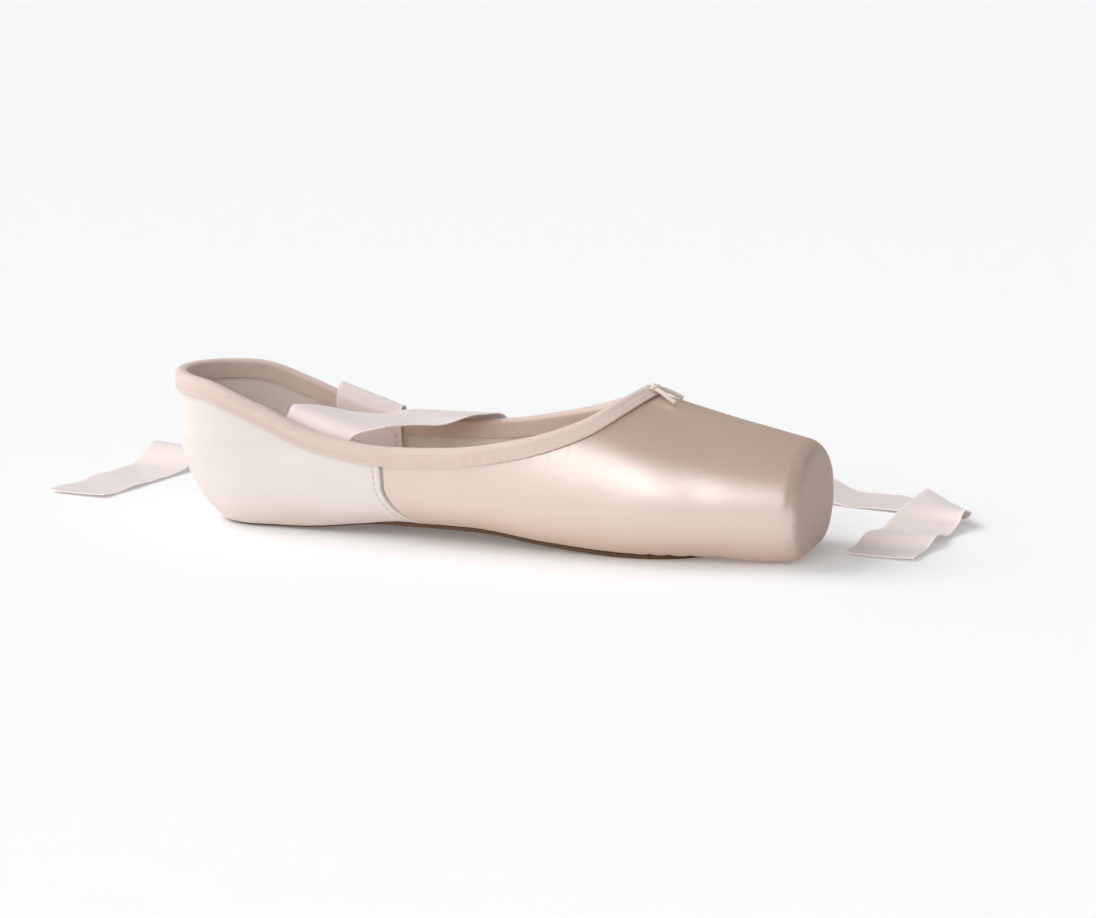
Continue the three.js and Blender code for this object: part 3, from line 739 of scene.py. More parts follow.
def leather_material(name, colour, shade, worn, edge):
    """Suede split leather: nap, pores, dark marks where it meets the floor, and a dark cut edge."""
    nodes = new_material(name)
    place = nodes.at["Object"]
    nap = nodes.noise(place, scale=1500.0, detail=5.0, roughness=0.7)
    clouds = nodes.noise(place, scale=70.0, detail=5.0)
    wear = nodes.noise(place, scale=26.0, detail=6.0, roughness=0.65)
    pores = nodes.add("ShaderNodeTexVoronoi", {"Vector": place, "Scale": 900.0}).outputs["Distance"]
    tone = nodes.mix(nodes.fade(clouds, none_at=0.3, full_at=0.7), colour, shade)
    tone = nodes.mix(nap, tone, shade, share=0.4)
    tone = nodes.mix(nodes.fade(wear, none_at=0.52, full_at=0.68), tone, worn, share=0.5)
    return nodes.finish(
        relief=nodes.plus(nap, pores), strength=0.35, distance=0.0003,
        Base_Color=nodes.mix(nodes.mark(), tone, edge), Roughness=0.82, Specular_IOR_Level=0.3)


def thread_material(name, colour):
    """Twisted sewing thread or cotton cord."""
    nodes = new_material(name)
    twist = nodes.wave(nodes.at["Object"], scale=1400.0, distortion=1.0, direction="DIAGONAL")
    tone = nodes.mix(twist, colour, shaded(colour, share=0.8), share=0.5)
    return nodes.finish(relief=twist, strength=0.4, Base_Color=tone, Roughness=0.7, Sheen_Weight=0.2)


# The third colour of each satin is its soil and painted shade near the floor and on the toe's end
VAMP_SATIN = satin_material(
    "vamp_satin", linear(217, 186, 165), linear(208, 174, 151), linear(186, 144, 116),
    least_rough=0.22, gloss=1.0)
QUARTER_SATIN = satin_material(
    "quarter_satin", linear(233, 224, 217), linear(224, 212, 203), linear(222, 202, 188),
    least_rough=0.29, gloss=0.5)
BINDING_TAPE = tape_material("binding_tape", linear(230, 210, 200), linear(217, 195, 183))
RIBBON_SATIN = ribbon_material("ribbon_satin", linear(250, 236, 233), linear(244, 225, 221))
LINING_CANVAS = canvas_material("lining_canvas", linear(247, 239, 231), linear(237, 225, 214))
INSOLE_CANVAS = canvas_material("insole_canvas", linear(241, 229, 217), linear(229, 213, 198))
SOLE_LEATHER = leather_material(
    "sole_leather", linear(170, 138, 108), linear(146, 114, 86), linear(98, 76, 58), linear(112, 86, 66))
THREAD = thread_material("thread", linear(236, 220, 205))
SEAM_THREAD = thread_material("seam_thread", linear(214, 201, 189))
RIBBON_THREAD = thread_material("ribbon_thread", linear(226, 204, 198))
CORD = thread_material("cord", linear(240, 226, 212))
# A dark sheet that paints the shadow inside the eyelet's hole
EYELET_PAINTED_SHADOW = thread_material("eyelet_painted_shadow", linear(70, 58, 50))


# Relief of the satin, in millimetres

PLEATS = 13
PLEAT_DEPTH = 0.7
PLEAT_REACH = 9.0
PLEAT_FULLNESS = 0.6  # a power under 1 makes full folds with narrow valleys
PLEAT_SINK = 0.6
BULGE_TOP = 9.0
COLLAR_STRETCH = 1.12  # length of the collar for each millimetre of the shoe
GATHER_SIZE = 0.07
HEEL_GATHERS = 0.35  # their size at the heel, as a share of that at the throat


def seam_relief(distance):
    """The two panels turn in where they are sewn, and roll up a little beside the seam."""
    roll = ridge(distance, height=0.18, place=1.7, half=0.8)
    return roll - ridge(distance, height=0.8, place=0.0, half=0.55)


def seam_mark(distance):
    """How strongly the seam's painted shadow colours the satin."""
    return ridge(distance, height=0.9, place=0.0, half=0.6)


def wave(along, pace, phase=0.0, size=1.0):
    """A wave with its radians for each millimetre, or for each millimetre along x, y and z."""
    return size * np.sin(np.dot(along, pace) + phase)


def unevenness(points, size):
    """Slow small waves in cloth that is drawn over a form by hand."""
    slow = wave(points, pace=(0.21, 0.0, 0.13), phase=0.4, size=0.625) * wave(points, pace=(0.0, 0.17, 0.09))
    fine = wave(points, pace=(0.37, -0.29, 0.23), phase=1.7, size=0.375)
    return size * (slow + fine)


def pleat_relief(points):
    """Folds of satin gathered round the front end of the outsole."""
    middle = OUTSOLE_TIP - OUTSOLE_TIP_ROUND
    half = float(LAST["flat"](middle)) + OUTSOLE_MARGIN
    ahead = (points[..., 0] - middle) / OUTSOLE_TIP_ROUND
    aside = points[..., 1] / half
    beyond = (np.hypot(ahead, aside) - 1) * (OUTSOLE_TIP_ROUND + half) / 2
    fold = np.abs(np.sin(np.arctan2(aside, ahead) * PLEATS)) ** PLEAT_FULLNESS - PLEAT_SINK
    near = np.exp(-np.maximum(beyond, 0) / PLEAT_REACH) * soft_rise(ahead, start=-0.25, run=0.4)
    return PLEAT_DEPTH * fold * near * (1 - soft_rise(points[..., 2], start=4.0, run=7.0))


def heel_bulge(points):
    """Satin that sags a little past the outsole's edge under the heel."""
    x, y, z = np.moveaxis(points, -1, 0)
    side = np.abs(y) - LAST["flat"](x)
    round_back = np.hypot(HEEL_AXIS - x, y) - HEEL_BACK["flat"]
    beyond = np.where(x < HEEL_AXIS, round_back, side) - OUTSOLE_MARGIN
    along = 1 - soft_rise(x, start=76.0, run=18.0)
    sag = soft_rise(beyond, start=0.0, run=1.2) * ridge(beyond, height=1.3, place=1.5, half=3.0)
    return np.where(z < BULGE_TOP, sag * along, 0)


def collar_gathers(u, points):
    """Small gathers under the binding, where the drawstring draws the collar in."""
    around = around_from(points)
    along = u * COLLAR_STRETCH
    sway = wave(along, pace=1 / 9, size=1.3)
    gathers = wave(along, pace=1.5, phase=sway) + wave(along, pace=0.83, phase=2.0, size=0.5)
    share = HEEL_GATHERS + (1 - HEEL_GATHERS) * soft_rise(u, start=110.0, run=50.0)
    size = GATHER_SIZE * share * (1 - soft_rise(u, start=THROAT - 6.0, run=6.0))
    return gathers * ridge(around[:, -1:] - around, height=size, place=BINDING_OUTSIDE, half=4.5)


# Upper

SATIN_THICK = 0.6
SATIN_WAVES = 0.035
LINING_THICK = 0.5
LINING_WAVES = 0.06
LINING_GAP = 0.05
QUARTER_LEAN = 44.0  # from this place the quarter's rows lean over to the seam
FOLD_LINE = 3.2  # the turned-in edge shows this far behind the seam
BACK_SEAM_DEPTH = 0.45
BACK_SEAM_MARK = 0.6
BACK_SEAM_LOW = 6.0

# Distances of the first stations from the seam, of those at the fold, and from the back of the heel
NEAR_SEAM = (0.0, 0.2, 0.4, 0.6, 0.8, 1.1, 1.5, 1.9, 2.4)
NEAR_FOLD = (2.8, 3.2, 3.6, 4.0, 4.5, 5.2)
NEAR_BACK = (0.0, 0.25, 0.5, 0.8, 1.2, 1.8, 2.6)

# Rows below and above the side's top, and runs of stations: end, count and spacing
VAMP_ROWS = (42, 34)
VAMP_RUNS = ((SEAM_REF + 3.0, 1, even_to), *front_runs(66, 40, 18, 10, 26, 14, 12))
QUARTER_ROWS = (42, 14)
QUARTER_RUNS = ((HEEL_AXIS, 28, even_to), (SEAM_REF - 6, 44, even_to))
LINING_ROWS = (26, 20)
LINING_RUNS = ((HEEL_AXIS, 16, even_to), *front_runs(40, 24, 8, 8, 10, 6, 6))


def panel(stations, lean, low_rows, high_rows):
    """Surface coordinates of a panel. lean says how far each station follows the side seam."""
    fractions = np.concatenate([
        np.linspace(0, 1, low_rows, endpoint=False),
        1 + np.linspace(0, 1, high_rows + 1),
    ])[None, :]

    def at(u):
        low = feather_v(u) + (SIDE_TOP - feather_v(u)) * fractions
        high = SIDE_TOP + (collar_v(u) - SIDE_TOP) * (fractions - 1)
        return np.where(fractions <= 1, low, high)

    base = np.broadcast_to(stations[:, None], (len(stations), fractions.shape[1]))
    u = base + lean(base) * (SEAM(at(base)) - SEAM_REF)
    return u, at(u)


def vamp_lean(base):
    return 1 - soft_rise(base, start=SEAM_REF, run=60.0)


def quarter_lean(base):
    return soft_rise(base, start=QUARTER_LEAN, run=SEAM_REF - QUARTER_LEAN)


def around_from(points):
    """Distance over the surface from the first row of each station."""
    steps = np.linalg.norm(np.diff(points, axis=1), axis=-1)
    return np.cumsum(np.concatenate([np.zeros((len(points), 1)), steps], axis=1), axis=1)


def panel_shell(name, stations, u, v, relief, thick, material, seam_rims=(), mark=None):
    """Both halves of a panel, closed at the foot opening, at the hole over the outsole and at its seam."""
    ends = np.searchsorted(stations, np.array([THROAT, HOLE_TIP]) - 1e-6)
    throat, tip = np.minimum(ends, len(stations) - 1)
    rims = [column_path(u.shape[1] - 1, throat), column_path(0, tip), *seam_rims]
    uv = np.stack([u, around_from(last_point(u, v))], axis=-1)
    points, faces, uvs = half_shell(off_last(u, v, relief), off_last(u, v, relief - thick), uv, rims)
    both_uv = np.concatenate([uvs, uvs * MIRROR[:2]])
    if mark is not None:
        mark = np.tile(mark.reshape(-1), 4)
    return make_object(name, *both_halves(points, faces), material, both_uv, mark)


def satin_relief(u, points, from_seam):
    """The relief that both satin panels have."""
    return seam_relief(from_seam) + unevenness(points, SATIN_WAVES) + collar_gathers(u, points)


def make_vamp():
    stations = run_stations(SEAM_REF + np.array(NEAR_SEAM), VAMP_RUNS)
    u, v = panel(stations, vamp_lean, *VAMP_ROWS)
    points = last_point(u, v)
    from_seam = (stations - SEAM_REF)[:, None] + 0 * v
    relief = satin_relief(u, points, from_seam) + pleat_relief(points)
    seam = row_path(0, u.shape[1])
    return panel_shell(
        "vamp", stations, u, v, relief, SATIN_THICK, VAMP_SATIN, [seam], seam_mark(from_seam))


def make_quarter():
    to_fold = run_stations(NEAR_BACK, QUARTER_RUNS)
    stations = np.concatenate([to_fold, SEAM_REF - np.array([*NEAR_SEAM, *NEAR_FOLD])[::-1]])
    u, v = panel(stations, quarter_lean, *QUARTER_ROWS)
    points = last_point(u, v)
    behind = (SEAM_REF - stations)[:, None] + 0 * v
    at_heel = (points[..., 0] < HEEL_AXIS) & (points[..., 2] > BACK_SEAM_LOW)
    back = np.where(at_heel, ridge(points[..., 1], height=1.0, place=0.0, half=0.6), 0)
    relief = satin_relief(u, points, behind) - ridge(behind, height=0.12, place=FOLD_LINE, half=0.5)
    relief = relief + heel_bulge(points) - BACK_SEAM_DEPTH * back
    # The side seam's and the back seam's grooves take a painted shadow
    mark = np.maximum(seam_mark(behind), BACK_SEAM_MARK * back)
    seam = row_path(len(stations) - 1, u.shape[1])
    return panel_shell("quarter", stations, u, v, relief, SATIN_THICK, QUARTER_SATIN, [seam], mark)


def make_lining():
    stations = run_stations(0, LINING_RUNS)
    u, v = panel(stations, np.zeros_like, *LINING_ROWS)
    relief = unevenness(last_point(u, v), LINING_WAVES) - (LAST["wall"](u) - LINING_THICK) - LINING_GAP
    return panel_shell("lining", stations, u, v, relief, LINING_THICK, LINING_CANVAS)


SEWN_SEAM = (0.25, 0.9, 60)  # first and last share of the seam that shows stitches, and points along it
SEAM_STITCH_SINK = 0.1


def make_seam_stitches():
    """A row of small stitches that holds the seam's turned edge, behind it on the quarter."""
    low = feather_v(SEAM_REF)
    v = low + (float(collar_v(np.array(SEAM_REF))) - low) * np.linspace(*SEWN_SEAM)
    base = SEAM_REF - FOLD_LINE
    u = base + quarter_lean(base) * (SEAM(v) - SEAM_REF)
    lines = both_sides(off_last(u, v, -SEAM_STITCH_SINK))
    return sewn_object("seam_stitches", lines, both_sides(last_normal(u, v)), SEAM_STITCH, SEAM_THREAD)


# Soles

EDGE_ROUND = 0.28  # share of the thickness
EDGE_STEPS = 4
SOLE_RINGS = (0.97, 0.94, 0.75, 0.5, 0.25)  # shares of the half width inside the edge


def sole_shell(name, margin, tip, tip_round, bottom, thick, material):
    """A sole with rounded edges that follows the underside of the last."""
    runs = ((HEEL_AXIS, 22, even_to), (tip - tip_round, 70, even_to), (tip, 26, ease_to))
    stations = run_stations(0, runs)
    turn = np.clip(1 - stations / HEEL_AXIS, 0, 1) * math.pi / 2
    half = (LAST["flat"](stations) + margin) * np.cos(turn) * tip_share(stations, tip, tip_round)
    x = np.where(turn > 0, HEEL_AXIS - (HEEL_BACK["flat"] + margin) * np.sin(turn), stations)
    edge = thick * EDGE_ROUND
    corner = np.linspace(0, math.pi / 2, EDGE_STEPS)
    ring = [(share, -edge, 0.0, 0.0) for share in (0.0, *reversed(SOLE_RINGS))]
    ring += [(1.0, -edge * (1 - math.sin(a)), edge * (1 - math.cos(a)), 1.0) for a in corner]
    ring += [(1.0, -edge * (1 - math.cos(a)), thick - edge * (1 - math.sin(a)), 1.0) for a in corner]
    ring += [(share, -edge, thick, 0.0) for share in (*SOLE_RINGS, 0.0)]
    share, inset, height, cut_edge = np.array(ring).T
    y = np.maximum(half[:, None] + inset, 0) * share
    grid = np.stack(np.broadcast_arrays(x[:, None], -y, bottom(stations)[:, None] + height), axis=-1)
    both = both_halves(grid.reshape(-1, 3), grid_faces(*y.shape))
    return make_object(name, *both, material, mark=np.tile(cut_edge, 2 * len(stations)))


def make_outsole():
    return sole_shell(
        "outsole_leather", OUTSOLE_MARGIN, OUTSOLE_TIP, OUTSOLE_TIP_ROUND,
        lambda u: LAST["keel"](u) - GAP - OUTSOLE_THICK, OUTSOLE_THICK, SOLE_LEATHER)


def make_insole():
    return sole_shell(
        "insole_sock", INSOLE_MARGIN, INSOLE_TIP, INSOLE_TIP_ROUND,
        lambda u: LAST["keel"](u) + LAST["wall"](u) + GAP, INSOLE_THICK, INSOLE_CANVAS)


# Binding

def collar_frames(stations):
    """Points of the collar's edge, with the directions out of the satin and down over it."""
    v = collar_v(stations)
    edge = last_point(stations, v)
    before = np.concatenate([edge[1:2] * MIRROR, edge[:-1]])
    after = np.concatenate([edge[1:], edge[-2:-1] * MIRROR])
    normal = last_normal(stations, v)
    down = unit(np.cross(unit(after - before), normal))
    return v, edge, normal, down


COLLAR_STATIONS = run_stations(0, ((HEEL_AXIS, 36, even_to), *front_runs(70, 44)))
COLLAR_V, COLLAR_EDGE, COLLAR_OUT, COLLAR_DOWN = collar_frames(COLLAR_STATIONS)
DOWN_STEPS = 6


def over_collar(below, out):
    """Points at a distance below the collar's edge and out from the satin."""
    out = np.broadcast_to(out, COLLAR_STATIONS.shape)
    if below <= 0:
        return COLLAR_EDGE + COLLAR_DOWN * below + COLLAR_OUT * out[:, None]
    u = COLLAR_STATIONS
    v = COLLAR_V
    for _ in range(DOWN_STEPS):
        u, v = step_on_last(u, v, COLLAR_DOWN, below / DOWN_STEPS)
    points = off_last(u, v, out)
    points[[0, -1], 1] = 0
    return points


BINDING_OVER = BINDING_GAP + BINDING_THICK
OUTSIDE_ROWS = 15
EDGE_ROWS = 13
INSIDE_ROWS = 9
EDGE_START = 0.6  # below the collar's edge, where the tape turns over it
EDGE_FLAT = 0.95
CORD_BULGE = 0.35
STITCH_LINE = 4.3
STITCH_SINK = 0.16
HEM_OPEN = 0.05
INNER_EDGE = 0.5
INNER_TOP = -BINDING_GAP * 0.6
TAPE_STEP = 0.2


def binding_section(wall):
    """Outline of the folded tape: distance below the collar's edge, and out from the satin."""
    out_a = BINDING_GAP + 0 * wall
    out_b = out_a + BINDING_THICK
    in_a = -(wall + BINDING_GAP)
    in_b = in_a - BINDING_THICK
    section = []
    for below in np.linspace(BINDING_OUTSIDE, EDGE_START, OUTSIDE_ROWS):
        bulge = ridge(below, height=CORD_BULGE, place=1.2, half=1.1)
        sunk = ridge(below, height=STITCH_SINK, place=STITCH_LINE, half=0.5)
        hem = ridge(below, height=0.25, place=BINDING_OUTSIDE, half=0.35)
        section.append((below, out_b + bulge - sunk - hem))
    middle = (out_b + in_b) / 2
    reach = (out_b - in_b) / 2
    for angle in np.linspace(0, math.pi, EDGE_ROWS):
        section.append((-BINDING_OVER * math.sin(angle) * EDGE_FLAT, middle + reach * math.cos(angle)))
    section += [(below, in_b) for below in np.linspace(EDGE_START, BINDING_INSIDE, INSIDE_ROWS)]
    section += [(below, in_a) for below in (BINDING_INSIDE, INNER_EDGE, INNER_TOP)]
    section += [(below, out_a) for below in (INNER_TOP, INNER_EDGE, BINDING_OUTSIDE / 2)]
    section.append((BINDING_OUTSIDE, out_a + HEM_OPEN))
    return section


def make_binding():
    section = binding_section(LAST["wall"](COLLAR_STATIONS))
    half = np.stack([over_collar(below, out) for below, out in section], axis=1)
    loop = np.concatenate([half, (half[1:-1] * MIRROR)[::-1], half[:1]])
    along = run_length(loop[:-1, OUTSIDE_ROWS - 1])
    along = np.append(along, along[-1])
    across = np.cumsum([0] + [abs(b[0] - a[0]) + TAPE_STEP for a, b in zip(section, section[1:])])
    uv = np.stack(np.broadcast_arrays(along[:, None], across[None, :]), axis=-1)
    faces = grid_faces(*loop.shape[:2], closed=True)
    return make_object("binding_tape", loop.reshape(-1, 3), faces, BINDING_TAPE, uv.reshape(-1, 2))


def make_binding_stitches():
    line = over_collar(STITCH_LINE, BINDING_OVER - STITCH_SINK)
    facing = unit(over_collar(STITCH_LINE, BINDING_OVER - STITCH_SINK + 1.0) - line)
    return sewn_object("binding_stitches", both_sides(line), both_sides(facing), BINDING_STITCH, THREAD)


EYELET_PLACE = 2.0
EYELET_HEIGHT = BINDING_OVER + CORD_BULGE * 0.7
EYELET_RADIUS = 0.95
EYELET_THREAD = 0.28
EYELET_STEPS = 32
EYELET_SIDES = 8
# Radius and depth of the cup, from the middle of its floor over its rim to the middle of its back
CUP_RINGS = ((0.0, 0.35), (0.45, 0.3), (0.95, 0.05), (0.0, 0.7))


def make_eyelet():
    """The worked hole in the binding that the drawstring comes out of: a ring of thread round a dark cup,
    which paints the hole's shadow.
    """
    out = COLLAR_OUT[-1]
    down = COLLAR_DOWN[-1]
    centre = COLLAR_EDGE[-1] + down * EYELET_PLACE + out * EYELET_HEIGHT
    turn = np.linspace(0, 2 * math.pi, EYELET_STEPS + 1)[:, None]
    circle = np.cos(turn) * down + np.sin(turn) * ASIDE
    thread = tube(centre + EYELET_RADIUS * circle, EYELET_THREAD, EYELET_SIDES)
    cup = np.concatenate([centre + radius * circle[:-1] - out * depth for radius, depth in CUP_RINGS])
    faces = grid_faces(len(CUP_RINGS), EYELET_STEPS, closed=True)
    return make_object("eyelet_ring", *thread, THREAD), make_object("eyelet_hole", cup, faces, EYELET_PAINTED_SHADOW)


# Drawstring

STRING_SIDES = 12
STRING_STEPS = 28
STRING_SHARE = 0.9  # of the solid's radius
KNOT_SHARE = 0.82
KNOT_STEPS = 90
KNOT_SIZE = 0.42
KNOT_WIDE = 1.25
KNOT_HEIGHT = BINDING_OVER + GAP + 1.35


def over_vamp(ahead, aside, height):
    """A point over the vamp ahead of the throat's edge."""
    u = THROAT + ahead
    per_v = -float(last_point(u, 1 - TOP_STRIP)[1]) / TOP_STRIP
    point = off_last(u, 1 - abs(aside) / per_v, height)
    return point * MIRROR if aside > 0 else point


def make_drawstring():
    """Two short ends, and a trefoil knot that lies on the vamp."""
    parts = []
    for side in (-1, 1):
        rows = [over_vamp(ahead, side * aside, height) for ahead, aside, height in STRING_END]
        line = catmull(rows, np.linspace(0, len(rows) - 1, STRING_STEPS))
        parts.append(tube(line, STRING_RADIUS * STRING_SHARE, STRING_SIDES))
    up = last_normal(THROAT + KNOT_PLACE, 1.0)
    forward = unit(np.cross(ASIDE, up))
    turn = np.linspace(0, 2 * math.pi, KNOT_STEPS)[:, None]
    reach = 2.0 + np.cos(3 * turn)
    knot = reach * (np.cos(2 * turn) * forward + KNOT_WIDE * np.sin(2 * turn) * ASIDE) + np.sin(3 * turn) * up
    line = over_vamp(KNOT_PLACE, 0, KNOT_HEIGHT) + KNOT_SIZE * knot
    parts.append(tube(line, STRING_RADIUS * KNOT_SHARE, STRING_SIDES))
    return make_object("drawstring_knot", *join_parts(parts), CORD)


# Ribbons

RIBBON_STEPS = 12  # from one row to the next
RIBBON_COLUMNS = 17
SHOWN_THICK = RIBBON_THICK * 0.8
MEAN_CURL = 0.6
FREE_RUN = 1.5  # rows over which it comes free, and over which it comes to lie again
FREE_RIPPLE = 0.35
FREE_CURL = 1.6
REST_RIPPLE = 0.3
REST_LIFT = 1.6
REST_CURL = 0.5


def ribbon_lines(rows, t):
    """Middle of the ribbon, the way across it and out of its face, and its half width along that."""
    def middle_at(places):
        x, y, z, _, tilt = catmull(rows, np.clip(places, 0, len(rows) - 1)).T
        lift = RIBBON_WIDTH / 2 * np.abs(np.sin(np.radians(tilt))) + RIBBON_THICK / 2 + RIBBON_FLOOR_GAP
        return np.stack([x, y, np.maximum(z, lift)], axis=-1)

    heading, lean = np.radians(catmull(rows, t)[:, 3:]).T
    along = unit(middle_at(t + RIBBON_REACH) - middle_at(t - RIBBON_REACH))
    across = np.stack([np.cos(heading) * np.cos(lean), np.sin(heading) * np.cos(lean), np.sin(lean)], axis=-1)
    face = np.cross(across, along)
    half = RIBBON_WIDTH / 2 / np.linalg.norm(face, axis=-1)
    return middle_at(t), across, unit(face), half


def make_ribbon(name, rows, free_start, free_end, rest_start):
    """A ribbon that curls and ripples a little where it hangs free and where it rests on the floor.

    It hangs free between two rows, free_start and free_end, and comes to rest at rest_start.
    """
    t = np.linspace(0, len(rows) - 1, (len(rows) - 1) * RIBBON_STEPS + 1)
    middle, across, face, half = ribbon_lines(rows, t)
    length = run_length(middle)
    along = length[:, None]
    shares = np.linspace(-1, 1, RIBBON_COLUMNS)[None, :]
    ripple = wave(along, pace=0.19, phase=0.9 * shares)
    ripple = ripple + wave(along, pace=0.31, phase=1.0 - 1.4 * shares, size=0.6)
    curl = shares ** 2 * (MEAN_CURL + wave(along, pace=0.08, size=0.4))
    free = soft_rise(t, free_start, FREE_RUN) * (1 - soft_rise(t, free_end - FREE_RUN, FREE_RUN))
    resting = soft_rise(t, rest_start, run=2.0)
    flat = middle[:, None] + shares[..., None] * (half[:, None] * across)[:, None]
    flat = flat + face[:, None] * (free[:, None] * (FREE_RIPPLE * ripple + FREE_CURL * curl))[..., None]
    flat[..., 2] += resting[:, None] * (REST_RIPPLE * (REST_LIFT + ripple) + REST_CURL * curl)
    top = flat + face[:, None] * SHOWN_THICK / 2
    under = flat - face[:, None] * SHOWN_THICK / 2
    uv = np.stack(np.broadcast_arrays(along, shares * RIBBON_WIDTH / 2), axis=-1)
    end = len(t) - 1
    rims = [row_path(row, RIBBON_COLUMNS) for row in (0, end)]
    rims += [column_path(column, end) for column in (0, RIBBON_COLUMNS - 1)]
    points, faces, uvs = half_shell(top, under, uv, rims)
    obj = make_object(name, points, faces, RIBBON_SATIN, uvs, shift=0.0)
    return obj, middle * MM, float(length[-1]) * MM


SEWN_INSET = 2.2  # from the ribbon's edges to the stitches that hold its end
SEWN_ROWS = (0.15, 1.25)  # first and last row of the ribbon that is sewn down
SEWN_POINTS = 20
SEWN_LIFT = RIBBON_THICK * 0.4


def make_ribbon_stitches(name, rows):
    """A square of small stitches that sews the ribbon's end down inside the quarter."""
    middle, across, face, half = ribbon_lines(rows, np.linspace(*SEWN_ROWS, SEWN_POINTS))
    facing = face * np.where(middle[:, 1:2] * face[:, 1:2] < 0, 1.0, -1.0)
    reach = (half * (1 - SEWN_INSET / (RIBBON_WIDTH / 2)))[:, None] * across
    sewn = middle + facing * SEWN_LIFT
    lines = [sewn - reach, sewn + reach]
    facings = [facing, facing]
    for k in (0, -1):
        lines.append(sewn[k] + np.linspace(-1, 1, SEWN_POINTS)[:, None] * reach[k])
        facings.append(np.repeat(facing[k][None], SEWN_POINTS, axis=0))
    return sewn_object(name, lines, facings, RIBBON_STITCH, RIBBON_THREAD, shift=0.0)


# Stage. Azimuth 0 is on the -Y side and turns towards +X, and angles are in degrees.

CAMERA_FROM = (19.0, 11.0)  # azimuth and elevation, fitted to the photograph
CAMERA_DISTANCE = 1.2
CAMERA_TARGET = (0.010, 0.030, 0.022)
CAMERA_LENS = 108.0
CAMERA_SENSOR = 36.0

FLOOR_HALF = 6000.0  # millimetres, as in all meshes

# The room: the way to each panel, and the cosines to it at which its light begins and is full
BRIGHT_SIDE = (-0.5, -0.866, 0.0)  # the bright wall's middle, in front of the shoe on the left
WALL_SIDES = (-0.4, 0.4)
FROM_WALL_END = (-0.988, -0.156, 0.0)  # square to the wall's right end, which faces the toe
WALL_END = (-0.14, 0.16)
WALL_TOP = (0.82, 0.69)  # the same, by how far up a direction points
BACK_SIDE = (0.743, 0.669, 0.0)  # the middle of a fainter panel, behind the shoe on the right
BACK_PANEL = (0.74, 0.90)
BACK_LIGHT = 0.5
ROOM_LIGHT = 0.22

STRIP_FROM = (3.0, 26.0)  # azimuth and elevation
STRIP_DISTANCE = 1.5
STRIP_SLANT = 30.0
STRIP_SIZE = (0.3, 1.2)
STRIP_POWER = 1.2

# Suns: azimuth, elevation, strength, spread, colour, and whether the satin's gloss shows it
SUNS = {
    "key": (-8.0, 24.0, 0.25, 30.0, (1.0, 0.99, 0.975), True),
    "side": (-95.0, 48.0, 1.38, 40.0, (1.0, 1.0, 1.0), False),
    "top": (0.0, 82.0, 0.45, 100.0, (1.0, 1.0, 1.0), False),
}


def make_floor():
    nodes = new_material("floor_paper")
    grain = nodes.noise(nodes.at["Object"], scale=40.0, detail=3.0)
    paper = nodes.finish(
        Base_Color=nodes.mix(grain, (0.86, 0.86, 0.87), (0.88, 0.88, 0.89)),
        Roughness=0.85, Specular_IOR_Level=0.2, Emission_Color=(1, 1, 1), Emission_Strength=0.13)
    corners = np.array([(-1, -1, 0), (1, -1, 0), (1, 1, 0), (-1, 1, 0)]) * FLOOR_HALF
    floor = make_object("floor", corners, [(0, 1, 2, 3)], paper, shift=0.0)


def make_world():
    """A dim pale room with one bright wall, which ends half way up, and a fainter panel behind."""
    world = bpy.data.worlds.new("studio")
    nodes = Nodes(world)
    direction = nodes.at["Generated"]

    def facing(way, limits):
        towards = nodes.add("ShaderNodeVectorMath", {0: direction, 1: way}, operation="DOT_PRODUCT")
        return nodes.fade(towards.outputs["Value"], *limits)

    sides = nodes.times(facing(BRIGHT_SIDE, WALL_SIDES), facing(FROM_WALL_END, WALL_END))
    wall = nodes.times(sides, nodes.fade(nodes.part(direction, "Z"), *WALL_TOP))
    light = nodes.plus(nodes.plus(ROOM_LIGHT, wall), facing(BACK_SIDE, BACK_PANEL), BACK_LIGHT)
    nodes.feed(nodes.tree.nodes["Background"].inputs["Color"], light)
    bpy.context.scene.world = world


def from_shoe(azimuth, elevation):
    turn = math.radians(azimuth)
    rise = math.radians(elevation)
    return Vector((math.sin(turn) * math.cos(rise), -math.cos(turn) * math.cos(rise), math.sin(rise)))


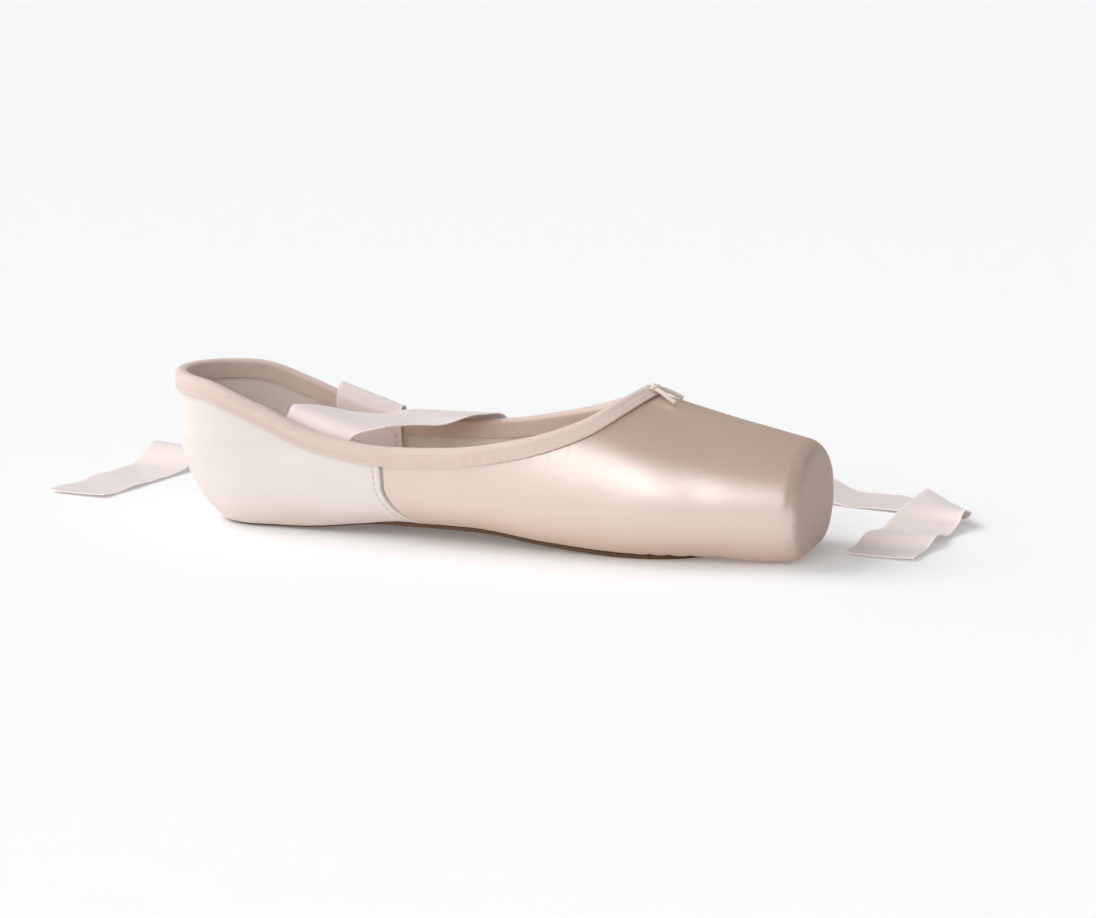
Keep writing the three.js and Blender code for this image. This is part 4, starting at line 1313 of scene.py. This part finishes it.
def place_facing(name, data, away, location, slant=0.0):
    """A lamp or camera that looks back along a direction. slant turns it in its own plane."""
    obj = bpy.data.objects.new(name, data)
    facing = (-away).to_track_quat("-Z", "Y").to_matrix()
    obj.rotation_euler = (facing @ Matrix.Rotation(math.radians(slant), 3, "Z")).to_euler()
    obj.location = location
    bpy.context.collection.objects.link(obj)
    return obj


def make_lights():
    """A strip that makes the bright band on the vamp, and suns, which are even all over the floor."""
    strip = bpy.data.lights.new("strip", "AREA")
    strip.shape = "RECTANGLE"
    strip.size, strip.size_y = STRIP_SIZE
    strip.energy = STRIP_POWER
    away = from_shoe(*STRIP_FROM)
    place_facing("strip", strip, away, away * STRIP_DISTANCE, STRIP_SLANT)
    for name, (azimuth, elevation, strength, spread, colour, glare) in SUNS.items():
        sun = bpy.data.lights.new(name, "SUN")
        sun.energy = strength
        sun.angle = math.radians(spread)
        sun.color = colour
        away = from_shoe(azimuth, elevation)
        place_facing(name, sun, away, Vector()).visible_glossy = glare


def make_camera():
    data = bpy.data.cameras.new("camera")
    data.sensor_width = CAMERA_SENSOR
    data.lens = CAMERA_LENS
    away = from_shoe(*CAMERA_FROM)
    location = Vector(CAMERA_TARGET) + away * CAMERA_DISTANCE
    bpy.context.scene.camera = place_facing("camera", data, away, location)


def dress(piece, node):
    """The piece stands for a node, whose part is hidden, and moves with the shoe."""
    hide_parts(node)
    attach(piece, "root")


bpy.context.scene.view_settings.view_transform = "Standard"
make_floor()
make_world()
make_lights()
make_camera()

dress(make_vamp(), "upper")
dress(make_quarter(), "upper")
dress(make_lining(), "upper")
dress(make_outsole(), "outsole")
dress(make_insole(), "insole")
dress(make_binding(), "binding")
dress(make_binding_stitches(), "binding")
dress(make_seam_stitches(), "upper")
for eyelet_piece in make_eyelet():
    dress(eyelet_piece, "binding")
dress(make_drawstring(), "drawstring")
for ribbon_name, ribbon_rows, free_rows in (
    ("ribbon_right", RIGHT_RIBBON, (3.5, 8.0, 13.0)),
    ("ribbon_left", LEFT_RIBBON, (5.0, 6.0, 10.0)),
):
    ribbon, path, ribbon_length = make_ribbon(ribbon_name + "_satin", ribbon_rows, *free_rows)
    dress(ribbon, ribbon_name)
    dress(make_ribbon_stitches(ribbon_name + "_stitches", ribbon_rows), ribbon_name)
